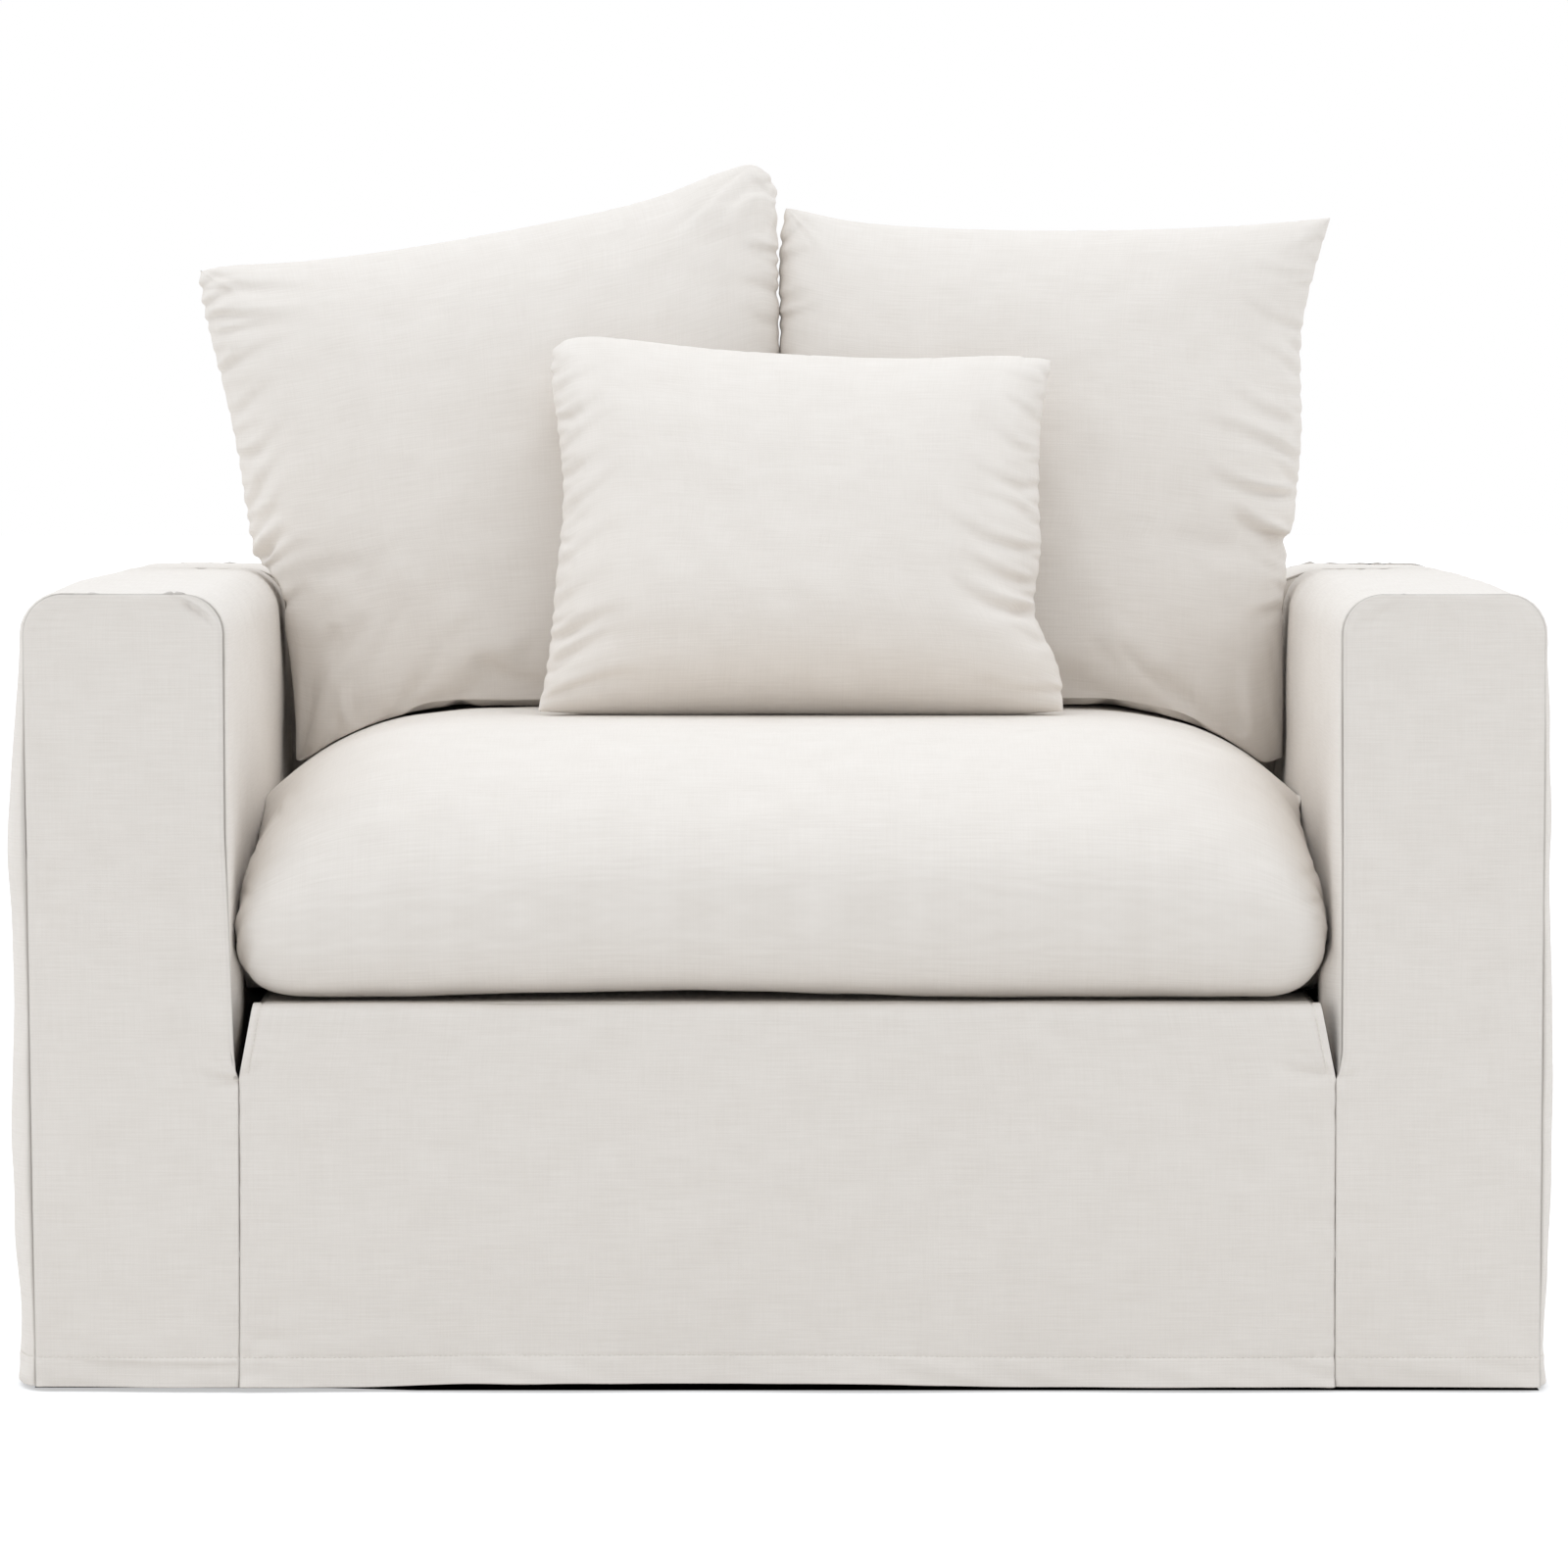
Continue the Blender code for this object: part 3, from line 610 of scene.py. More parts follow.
def panel_heights(fine, coarse=0.0055):
    """Rows of an upright panel with rounded top corners."""
    shoulder = ARM_HEIGHT - CORNER
    arc = shoulder + CORNER * np.sin(np.linspace(0, math.pi / 2, 27)[1:])
    return np.concatenate((ruler(shoulder, fine, coarse), arc))


def edge_distance(x, z, left, right):
    """Distance from the sewn edge of an upright panel, whose top corners are round."""
    sideways = np.abs(x - (left + right) / 2) - ((right - left) / 2 - CORNER)
    upward = z - (ARM_HEIGHT - CORNER)
    round_part = CORNER - np.hypot(np.maximum(sideways, 0), np.maximum(upward, 0))
    return np.where((sideways > 0) | (upward > 0), round_part, CORNER - np.maximum(sideways, upward))


def hem_flare(along, z):
    """The lower edge swings out in soft waves."""
    fade = np.maximum(1.0 - z / HEM_REACH, 0.0) ** 2
    return HEM_FLARE * fade * (0.55 + 0.45 * np.sin(2 * math.pi * along / HEM_WAVE))


def hem_lift(x, z):
    """The lower edge of the apron rises in its left half, as cloth that is a little short there."""
    return HEM_LIFT * ease((x + 0.34) / 0.10) * ease((0.20 - x) / 0.16) * clamp(1 - z / 0.12) ** 2


def dipped(x, z):
    """A height on the back cover, whose top lies lower between the arms."""
    dip = BACK_DIP * ease((ARM_INNER + 0.040 - np.abs(x)) / 0.060)
    return z - dip * clamp(z / ARM_HEIGHT) ** 4


def taper(side, z):
    """How far the outer edge of an arm facing has drawn in at a height."""
    return np.where(side < 0, TAPER_LEFT, TAPER_RIGHT) * (1 - z / ARM_HEIGHT)


def side_swell(side, y, z):
    """How far the loose side wall stands outward: not at its seams, and in full soon behind them."""
    near = clamp(np.minimum(y - PANEL_START, PANEL_END - y) / SWELL_ROUND)
    edge = np.sqrt(1 - (1 - near) ** 2)
    loose = np.where(side < 0, SWELL_LEFT, SWELL_RIGHT) * (0.3 + 0.7 * bump(z / ARM_HEIGHT) ** 0.7)
    drawn = taper(side, z) * np.maximum(1 - (y - PANEL_START) / SWELL_ROUND, 0.0)
    return (loose + hem_flare(y, z)) * edge - drawn


def outward(x, y, z):
    """A point of an outer side wall, swollen by its own height and depth."""
    share = clamp((np.abs(x) - (SIDE - CORNER)) / CORNER)
    return x + np.sign(x) * side_swell(x, y, z) * share


def over(s, left, right, left_foot, height, radius):
    """Points (x, z) at the lengths s of a strip up a left wall, over a round-cornered top and down."""
    rise = height - radius - left_foot
    turn = radius * math.pi / 2
    flat = right - left - 2 * radius
    up = clamp(s, 0, rise)
    first = clamp(s - rise, 0, turn)
    level = clamp(s - rise - turn, 0, flat)
    second = clamp(s - rise - turn - flat, 0, turn)
    down = np.maximum(s - rise - 2 * turn - flat, 0)
    x = left + radius * (1 - np.cos(first / radius)) + level + radius * np.sin(second / radius)
    z = left_foot + up + radius * np.sin(first / radius) - radius * (1 - np.cos(second / radius)) - down
    return x, z


def over_length(left, right, left_foot, right_foot, height, radius):
    """Whole length of such a strip."""
    walls = 2 * (height - radius) - left_foot - right_foot
    return walls + math.pi * radius + right - left - 2 * radius


FACING_FOLDS = metres({
    -1: (((-458.8, 620.5), (-443, 596), 2.4, 2, 5.2, 2),
         ((-440, 17), (-590, 21.5), 1.6, 2.4, 1.8, 2.5),
         ((-437, 244), (-474, 248), 2.2, 4, 3, 1),
         ((-437, 241), (-466, 236), 2.2, 3.5, 1.8)),
    1: (((470, 620), (442, 600), 3, 3, 1.4, 4),
        ((437, 245), (462, 250), 2.2, 3.5, 1.4)),
})
APRON_FOLDS = metres((
    ((430, 248), (375, 260), 2.4, 4.5, 3.2, 2),
    ((428, 252), (392, 274), 2.4, 4, 1.8),
    ((-428, 247), (-400, 260), 2.2, 3.6, 1.4),
    ((-420, 38), (-345, 42), 4, 7, 1.6, 2),
))


INNER_ROUND = 0.014         # the inner side turns round to its leaning seam over this depth
INNER_BULGES = metres({-1: (5.5, 0.8), 1: (8.5, 3)})    # over the slits, and beside the seat cushion
INNER_SEAMS = metres({
    -1: ((0, 0), (4, 2), (20, 3.6), (105, 6.6), (195, 10.6), (375, 11.2)),
    1: ((0, 0), (4, 2), (20, 5), (105, 5.2), (195, 5), (375, 4)),
})


def inner_seam(side, z):
    """Where the seam between an arm's front and inner side lies: it leans away from the seat."""
    rows = np.array(INNER_SEAMS[side])
    edge = APRON_LEFT + SEWN if side < 0 else APRON_RIGHT + SEWN
    return edge + np.interp(z - TUCK_FOOT, rows[:, 0], rows[:, 1])


def inner_bulge(side, depth, z):
    """How far the arm's inner side swells inward behind its front seam: most over the slit."""
    low, high = INNER_BULGES[side]
    under = low * (1 - ease((z - 0.322) / 0.028)) * (1 - ease((depth - 0.06) / 0.06))
    beside = high * (1 - ease((z - 0.42) / 0.08))
    return (under + beside) * ease((z - TUCK_FOOT) / 0.055) * ease(depth / 0.035)


def arm_facing(side, node):
    """Front panel of one arm. Under the slit its inner edge meets the apron."""
    middle = side * (SIDE + ARM_INNER) / 2

    def place(u, z):
        inner = inner_seam(side, z) + rounding(z)
        outer = SIDE - rounding(z) - taper(side, z)
        start, end = (-outer, -inner) if side < 0 else (inner, outer)
        share = u / ARM_WIDTH
        x = mix(start, end, share)
        return x, FRONT - FACING_SWELL * bump(share) * bump(z / ARM_HEIGHT) - hem_flare(x, z), z

    def sewn_edge(u, z):
        drawn = middle + (u - ARM_WIDTH / 2) * (1 - 2 * rounding(z) / ARM_WIDTH)
        return drawn, edge_distance(drawn, z, middle - ARM_WIDTH / 2, middle + ARM_WIDTH / 2)

    def relief(u, z):
        x = middle + u - ARM_WIDTH / 2
        drawn, distance = sewn_edge(u, z)
        sewn = seam(distance) + pucker(z + drawn, distance, 11 + side, 0.0004)
        return sewn + hem(x, z, 21 + side) + slack(x, z, 31 + side) + folds(x, z, FACING_FOLDS[side])

    def shade(u, z):
        """Painted shade in the slit beside the side walls, and a fainter line of painted shade where the
        allowance ends at the inner side.
        """
        inward = ARM_WIDTH - u if side < 0 else u
        allowance = ALLOWANCE_PAINTED_SHADE * bell(inward - ALLOWANCE, 0.0006) * ease((z - TUCK_FOOT) / 0.01)
        return np.maximum(painted_shade_share(sewn_edge(u, z)[1]), allowance)

    across = ruler(ARM_WIDTH, (0.0, ARM_WIDTH), finest=0.0004)
    along = panel_heights((0.0, HEM_STITCH, TUCK_FOOT))
    return Panel(node, across, along, place, relief, shade, (ARM_WIDTH, ARM_HEIGHT), "hung")


def arm_panel(side, node):
    """Outer side, top and inner side of one arm in one strip."""
    left, right = sorted((side * SIDE, side * ARM_INNER))
    left_foot, right_foot = (0.0, TUCK_FOOT) if side < 0 else (TUCK_FOOT, 0.0)
    length = over_length(left, right, left_foot, right_foot, ARM_HEIGHT, CORNER)
    depth = BACK_FRONT - GAP - PANEL_START
    middle = (left + right) / 2
    hem_places = (0.0, HEM_STITCH) if side < 0 else (length - HEM_STITCH, length)

    def place(s, t):
        x, z = over(s, left, right, left_foot, ARM_HEIGHT, CORNER)
        y = PANEL_START + t
        top = clamp((z - (ARM_HEIGHT - CORNER)) / CORNER)
        lift = ARM_CROWN * (1 - ((x - middle) / (ARM_WIDTH / 2)) ** 2) * top * bump(t / depth)
        lean = (np.maximum(z - SPLAY_START, 0.0) / (ARM_HEIGHT - SPLAY_START)) ** 2
        inward = clamp((middle - x) * side / (ARM_WIDTH / 2))
        turned = 1 - np.sqrt(1 - (1 - clamp(t / INNER_ROUND)) ** 2)
        pushed = (inner_seam(side, z) - ARM_INNER) * turned - inner_bulge(side, t, z)
        inner = x + side * inward * (SPLAY * t / depth * lean + pushed)
        return np.where(inward > 0, inner, outward(x, y, z)), y, z + lift

    def relief(s, t):
        x, z = over(s, left, right, left_foot, ARM_HEIGHT, CORNER)
        outside = ease(((x - middle) * side) / (ARM_WIDTH / 2))
        sewn = seam(t) + seam(depth - t) + pucker(s, depth - t, 44 + side)
        sewn = sewn + pucker(s, t, 41 + side, 0.0004) * ease(t / 0.004)
        loose = slack(s, t, 51 + side, 0.0016) * outside + slack(s, t, 54 + side, 0.0009)
        return sewn + loose + hem(t, z, 61 + side) * outside

    def shade(s, t):
        # Painted shade in the slits of the front and rear seams.
        return painted_shade_share(np.minimum(t, depth - t))

    across = ruler(length, hem_places, 0.0068)
    along = ruler(depth, (0.0, depth), 0.0110, finest=0.0005)
    return Panel(node, across, along, place, relief, shade, (length, depth), "draped", turned=True)


def back_band():
    """Strip over the back frame, from floor to floor."""
    length = over_length(-SIDE, SIDE, 0.0, 0.0, ARM_HEIGHT, CORNER)
    depth = PANEL_END - BACK_FRONT

    def place(s, t):
        x, z = over(s, -SIDE, SIDE, 0.0, ARM_HEIGHT, CORNER)
        y = BACK_FRONT + t
        return outward(x, y, z), y, dipped(x, z)

    def relief(s, t):
        x, z = over(s, -SIDE, SIDE, 0.0, ARM_HEIGHT, CORNER)
        on_wall = ease((np.abs(x) - SIDE + CORNER) / CORNER)
        sewn = seam(t) + seam(depth - t) + pucker(s, t, 71, 0.0003) + pucker(s, depth - t, 72, 0.0003)
        return sewn + slack(s, t, 73) + hem(t, z, 75) * on_wall

    def shade(s, t):
        # Painted shade in the slits of the front and rear seams.
        return painted_shade_share(np.minimum(t, depth - t))

    across = ruler(length, (0.0, HEM_STITCH, length - HEM_STITCH, length), 0.0100)
    along = ruler(depth, (0.0, depth), 0.0110)
    return Panel("back_band", across, along, place, relief, shade, (length, depth), "draped", turned=True)


def inside_back():
    """Flat panel between the arms, tucked down behind the platform."""
    half = ARM_INNER + CORNER
    height = ARM_HEIGHT - CLOTH - GAP - TUCK_FOOT

    def place(u, v):
        return u - half, np.full_like(u, BACK_FRONT), dipped(u - half, TUCK_FOOT + v)

    def relief(u, v):
        return -np.abs(slack(u, v, 81, 0.0006))

    across, along = ruler(2 * half, (), 0.016), ruler(height, (), 0.020)
    return Panel("inside_back", across, along, place, relief, unshaded, (2 * half, height), "hung")


def outside_back():
    """Rear panel, hanging free to the floor."""

    def place(u, z):
        half = SIDE - rounding(z)
        share = u / (2 * SIDE)
        x = mix(half, -half, share)
        y = REAR + REAR_SWELL * bump(share) * bump(z / ARM_HEIGHT) + hem_flare(x, z)
        return x, y, dipped(x, z)

    def relief(u, z):
        x = (SIDE - u) * (1 - rounding(z) / SIDE)
        distance = edge_distance(x, z, -SIDE, SIDE)
        hanging = 0.0022 * ripple(x, z * 0.16, 0.20, 91) * ease((ARM_HEIGHT - z) / 0.25)
        gathers = pucker(x + z, distance, 92, 0.0003)
        return seam(distance) + gathers + hem(x, z, 93) + hanging * ease(distance / 0.06)

    def shade(u, z):
        # Painted shade in the slit of the seam round its sides and top.
        return painted_shade_share(edge_distance((SIDE - u) * (1 - rounding(z) / SIDE), z, -SIDE, SIDE))

    across, along = ruler(2 * SIDE, (0.0, 2 * SIDE), 0.0095), panel_heights((0.0, HEM_STITCH), 0.0105)
    return Panel("outside_back", across, along, place, relief, shade, (2 * SIDE, ARM_HEIGHT), "hung")


def seat_deck():
    """Platform cloth with a tuck running down beside each arm."""
    half = ARM_INNER - GAP
    radius = 0.008
    start = FRONT + APRON_RETURN + GAP
    depth = BACK_FRONT - GAP - start
    length = over_length(-half, half, TUCK_FOOT, TUCK_FOOT, DECK_HEIGHT, radius)

    def place(s, t):
        x, z = over(s, -half, half, TUCK_FOOT, DECK_HEIGHT, radius)
        left, right = deck_edges(z, clamp(t / (depth / 6)))
        return mix(left, right, (x + half) / (2 * half)), start + t, z

    def relief(s, t):
        return -np.abs(slack(s, t, 101, 0.0003))

    across, along = ruler(length, (), 0.008), ruler(depth, (), 0.020)
    return Panel("seat_deck", across, along, place, relief, unshaded, (length, depth), "laid", turned=True)


def deck_edges(z, depth):
    """Left and right ends of the platform cloth: as wide as the apron, and to the arms behind it."""
    left, right = apron_edges(z)
    rise = (z - TUCK_FOOT) / TUCK
    half = ARM_INNER - GAP
    left = mix(left, -mix(half, APRON_TOP_LEFT, rise), depth)
    return left, mix(right, mix(half, APRON_TOP_RIGHT, rise), depth)


def apron_edges(z):
    """Left and right ends of the apron at a height: the slits narrow it above the tuck's foot."""
    share = np.maximum(z - TUCK_FOOT, 0.0) / TUCK
    return -mix(APRON_LEFT, APRON_TOP_LEFT, share), mix(APRON_RIGHT, APRON_TOP_RIGHT, share)


def front_apron():
    """Front skirt from the hem up, rolled back over the platform's edge."""
    rise = DECK_HEIGHT - APRON_ROLL
    turn = APRON_ROLL * math.pi / 2
    length = rise + turn + APRON_RETURN - APRON_ROLL
    width = APRON_LEFT + APRON_RIGHT

    def profile(s):
        angle = clamp(s - rise, 0, turn) / APRON_ROLL
        y = FRONT + APRON_ROLL * (1 - np.cos(angle)) + np.maximum(s - rise - turn, 0)
        return y, clamp(s, 0, rise) + APRON_ROLL * np.sin(angle)

    def place(u, s):
        y, z = profile(s)
        left, right = apron_edges(z)
        share = u / width
        x = mix(left, right, share)
        y = y - FACING_SWELL * bump(share) * bump(z / DECK_HEIGHT) - hem_flare(x, z)
        return x, y, z + hem_lift(x, z)

    def relief(u, s):
        y, z = profile(s)
        left, right = apron_edges(z)
        x = mix(left, right, u / width)
        distance = np.minimum(x - left, right - x)
        free = ease((z - TUCK_FOOT) / 0.010)
        slit_hem = 0.0005 * ease((SLIT_HEM - distance) / 0.001) - 0.0007 * bell(distance - SLIT_HEM, 0.0011)
        sewn = mix(seam(distance) + pucker(z, distance, 111, 0.0005), slit_hem, free)
        kick = HEM_KICK * clamp(1 - z / HEM_STITCH)
        return sewn + hem(x, z, 112) + kick + slack(x, z, 113, 0.0011) + folds(x, z, APRON_FOLDS)

    def shade(u, s):
        # Painted shade in the slits beside the arm facings, below the tuck's foot.
        y, z = profile(s)
        sewn = ease((TUCK_FOOT - z) / 0.004)
        return painted_shade_share(np.minimum(u, width - u)) * sewn

    across = ruler(width, (0.0, SLIT_HEM, width - SLIT_HEM, width), 0.0052, finest=0.0005)
    along = ruler(length, (0.0, HEM_STITCH, TUCK_FOOT), 0.0052)
    return Panel("front_apron", across, along, place, relief, shade, (width, length), "hung")


# ---------------------------------------------------------------- cushions
def crowd(t):
    """Even steps from -1 to 1, crowded towards both ends."""
    return 0.85 * np.sin(t * math.pi / 2) + 0.15 * t


def fullness(a, b, power=0.50, low=2.8):
    """Share of the full thickness: none at the sewn edge, quickly full inside it."""
    up = np.where(b > 0, 2.8, low)
    return (np.maximum(1 - np.abs(a) ** 2.8, 0) * np.maximum(1 - np.abs(b) ** up, 0)) ** power


def soft_corner(a, b, pulls):
    """Draw a place in towards the middle near a corner, by the four corners' shares."""
    pull = np.array(pulls)[2 * (b > 0) + (a > 0)]
    near = np.maximum(np.abs(a) + np.abs(b) - 1.75, 0.0) / 0.25
    inward = 1 - pull * near ** 2
    return a * inward, b * inward


def patch(outline, u, v):
    """Points (x, z) inside four edge curves, with u to the right and v up."""
    left, right = trace(outline["left"], v), trace(outline["right"], v)
    bottom, top = trace(outline["bottom"], u), trace(outline["top"], u)
    u = u[:, None]
    v = v[:, None]
    low = mix(np.array(outline["bottom"][0]), np.array(outline["bottom"][-1]), u)
    high = mix(np.array(outline["top"][0]), np.array(outline["top"][-1]), u)
    both = mix(left, right, u) + mix(bottom, top, v) - mix(low, high, v)
    return both[:, 0], both[:, 1]


def nose_height(x):
    """Height of the seam round the seat cushion."""
    return SEAT_NOSE_HEIGHT - SEAT_NOSE_DROP * (x / SEAT_HALF) ** 2


def seat_half(x):
    """Half width of the seat cushion on the side of x."""
    return np.where(x < 0, SEAT_HALF, SEAT_HALF - SEAT_SLACK)


def seat_front(x):
    """Depth of the nose, which is drawn back round the two front corners."""
    turn = clamp((np.abs(x) - seat_half(x) + SEAT_CORNER) / SEAT_CORNER)
    return SEAT_NOSE + SEAT_CORNER * (1 - np.sqrt(1 - turn ** 2))


def seat_top(x, y):
    """Height of the seat cushion's top: level in the middle, falling to the sides and the front."""
    nose = nose_height(x)
    sideways = clamp((np.abs(x) - SEAT_PLATEAU) / (seat_half(x) - SEAT_PLATEAU))
    rolled = nose + (SEAT_TOP - nose) * np.sqrt(1 - sideways ** 3.5)
    pressed = SEAT_TOP - SEAT_SIDE_FALL * sideways ** 3
    crest = mix(rolled, pressed, clamp((y - SEAT_BROW) / (SEAT_PRESSED - SEAT_BROW)))
    forward = clamp((SEAT_BROW - y) / (SEAT_BROW - seat_front(x)))
    return nose + (crest - nose) * np.sqrt(1 - forward ** 2)


def seat_arch(x, y):
    """How far the underside of the nose stands off the platform."""
    middle = 0.25 + 0.75 * bell(x - SEAT_ARCH_X, SEAT_ARCH_REACH)
    return SEAT_ARCH * middle * clamp((SEAT_ARCH_END - y) / 0.1)


def seat_under(x, y):
    """How near the seat's underside is to its front edge and ends: 1 at the edge, 0 where it is level."""
    sideways = np.maximum(seat_half(x) - np.abs(x), 0.0)
    forward = y - SEAT_NOSE
    curl = mix(SEAT_END_CURL, SEAT_CURL, sideways / (sideways + forward + 0.001))
    beside = SEAT_CORNER - sideways - SEAT_CURL * (1 - clamp((-y - 0.25) / 0.15))
    before = SEAT_CORNER - forward
    rounded = SEAT_CORNER - np.hypot(np.maximum(beside, 0), np.maximum(before, 0))
    return clamp(1 - (rounded - np.minimum(np.maximum(beside, before), 0)) / curl)


def meeting(y):
    """Where the plane between the two back cushions lies at a depth."""
    return MEETING_X - MEETING_SLANT * (y - MEETING_Y)


def rest_plane(z):
    """Depth of the plane on which the scatter cushion leans."""
    return REST_BASE_Y + REST_SLOPE * (z - SEAT_TOP)


def read(rows, name, width):
    """What each row of a mesh's layer holds, as an array of rows."""
    values = np.zeros(len(rows) * width, np.float32)
    rows.foreach_get(name, values)
    return values.reshape(-1, width).astype(float)


def points_of(mesh):
    return read(mesh.vertices, "co", 3)


def shape(mesh, points):
    mesh.vertices.foreach_set("co", points.reshape(-1).astype(np.float32))
    mesh.update()


def evaluated_mesh(piece):
    """A plain copy of a piece's mesh as its modifiers make it now."""
    return bpy.data.meshes.new_from_object(piece.evaluated_get(bpy.context.evaluated_depsgraph_get()))


def puff(piece, rim, pressure, growth, cap, frames=20):
    """Blow the cover up from inside as cloth that is sewn fast at its rim, by no more than the cap."""
    start = points_of(piece.data)
    sewn = piece.vertex_groups.new(name="sewn")
    loose = piece.vertex_groups.new(name="loose")
    for index, share in enumerate(rim):
        if share > 0.999:
            sewn.add([index], 1.0, "REPLACE")
        loose.add([index], float(share) ** 3, "REPLACE")
    cloth = piece.modifiers.new("cloth", "CLOTH")
    feel = {
        "quality": 5,
        "mass": 0.15,
        "tension_stiffness": 25,
        "compression_stiffness": 25,
        "shear_stiffness": 8,
        "bending_stiffness": 0.4,
        "vertex_group_mass": "sewn",
        "vertex_group_shrink": "loose",
        "shrink_min": 0.0,
        "shrink_max": -growth,
        "use_pressure": True,
        "uniform_pressure_force": pressure,
    }
    for key, value in feel.items():
        setattr(cloth.settings, key, value)
    cloth.settings.effector_weights.gravity = 0.0
    cloth.point_cache.frame_start = 1
    cloth.point_cache.frame_end = frames
    for moment in range(1, frames + 1):
        bpy.context.scene.frame_set(moment)
    puffed = evaluated_mesh(piece)
    moved = points_of(puffed) - start
    piece.modifiers.clear()
    piece.vertex_groups.clear()
    bpy.context.scene.frame_set(1)
    far = np.linalg.norm(moved, axis=1, keepdims=True)
    shape(piece.data, start + moved * np.minimum(1.0, cap / np.maximum(far, 1e-9)))


def refine(piece):
    """One subdivision, made part of the mesh."""
    fine = piece.modifiers.new("fine", "SUBSURF")
    fine.levels = 1
    fine.render_levels = 1
    mesh = evaluated_mesh(piece)
    piece.modifiers.clear()
    coarse = piece.data
    piece.data = mesh
    bpy.data.meshes.remove(coarse)
    mesh.name = piece.name


def cushion(node, cells, place, hold, relief, size, pressure, cap):
    """A filled cover: two grids sewn at their rim, blown up, held in by what it touches, and creased."""
    shell = bmesh.new()
    bmesh.ops.create_grid(shell, x_segments=cells[0], y_segments=cells[1], size=1.0)
    for point in shell.verts:
        point.co.z = 1.0 - max(abs(point.co.x), abs(point.co.y))
    whole = shell.verts[:] + shell.edges[:] + shell.faces[:]
    bmesh.ops.mirror(shell, geom=whole, axis="Z", merge_dist=0.0001)
    flat = np.array([point.co for point in shell.verts])
    across, up = crowd(flat[:, 0]), crowd(flat[:, 1])
    side = np.where(np.abs(flat[:, 2]) < 0.0001, 0.0, np.sign(flat[:, 2]))
    points = hold(place(across, up, side), side)
    for point, spot in zip(shell.verts, points):
        point.co = spot
    bmesh.ops.recalc_face_normals(shell, faces=shell.faces[:])
    if shell.calc_volume(signed=True) < 0:
        bmesh.ops.reverse_faces(shell, faces=shell.faces[:])
    weave = np.stack(((across + 1) / 2 * size[0], (up + 1) / 2 * size[1]), axis=-1)
    piece = finish("linen_" + node, shell, points, weave, LINEN, node)
    for name, values in (("across", across), ("up", up), ("side", side)):
        keep(piece.data, name, values)
    rim = np.maximum(np.abs(across), np.abs(up))
    puff(piece, rim, pressure, 0.05, cap)
    shape(piece.data, hold(points_of(piece.data), side))
    refine(piece)
    mesh = piece.data
    marks = (mesh.attributes[name].data for name in ("across", "up", "side"))
    across, up, side = (read(mark, "value", 1)[:, 0] for mark in marks)
    points = points_of(mesh)
    points = points + read(mesh.vertex_normals, "vector", 3) * relief(points, across, up, side)[:, None]
    shape(mesh, hold(points, side))
    mesh.shade_smooth()
    return piece


def seat_cushion():
    """Seat cushion: level underside on the platform, flat sides against the arms, rolled front."""

    def place(a, b, side):
        wall = 1 + 0.045 * ease((b + 0.2) / 0.4)
        x = mix(-SEAT_HALF, SEAT_HALF - SEAT_SLACK, clamp((a * wall + 1) / 2))
        y = mix(seat_front(x), SEAT_END, np.minimum((b + 1) / 2 * 1.03, 1.0))
        nose = nose_height(x)
        low = SEAT_BOTTOM + seat_arch(x, y)
        bottom = nose - (nose - low) * (1 - seat_under(x, y) ** SEAT_SQUARE) ** (1 / SEAT_SQUARE)
        return np.stack((x, y, np.select((side > 0, side < 0), (seat_top(x, y), bottom), nose)), axis=-1)

    def hold(points, side):
        x = clamp(points[:, 0], -SEAT_HALF, SEAT_HALF - 0.2 * SEAT_SLACK)
        y = np.minimum(points[:, 1], SEAT_END)
        covered = ease((y + 0.20) / 0.10)
        z = np.minimum(points[:, 2], seat_top(x, y) + 0.008 * (1 - covered))
        return np.stack((x, y, np.maximum(z, SEAT_BOTTOM)), axis=-1)

    def relief(points, a, b, side):
        x, y, z = points.T
        soft = 0.0016 * ripple(x, y + z, 0.21, 121) + 0.0005 * ripple(x, y + z, 0.07, 122)
        end = SEAT_HALF - np.abs(x)
        gathers = 0.0012 * ripple(y + z, 0.5 * x, 0.030, 123) * np.exp(-end / 0.022)
        return soft + gathers + folds(x, z, SEAT_CREASES) * ease((-0.25 - y) / 0.10)

    return cushion("seat_cushion", (98, 80), place, hold, relief, (0.90, 0.90), 2.5, 0.008)


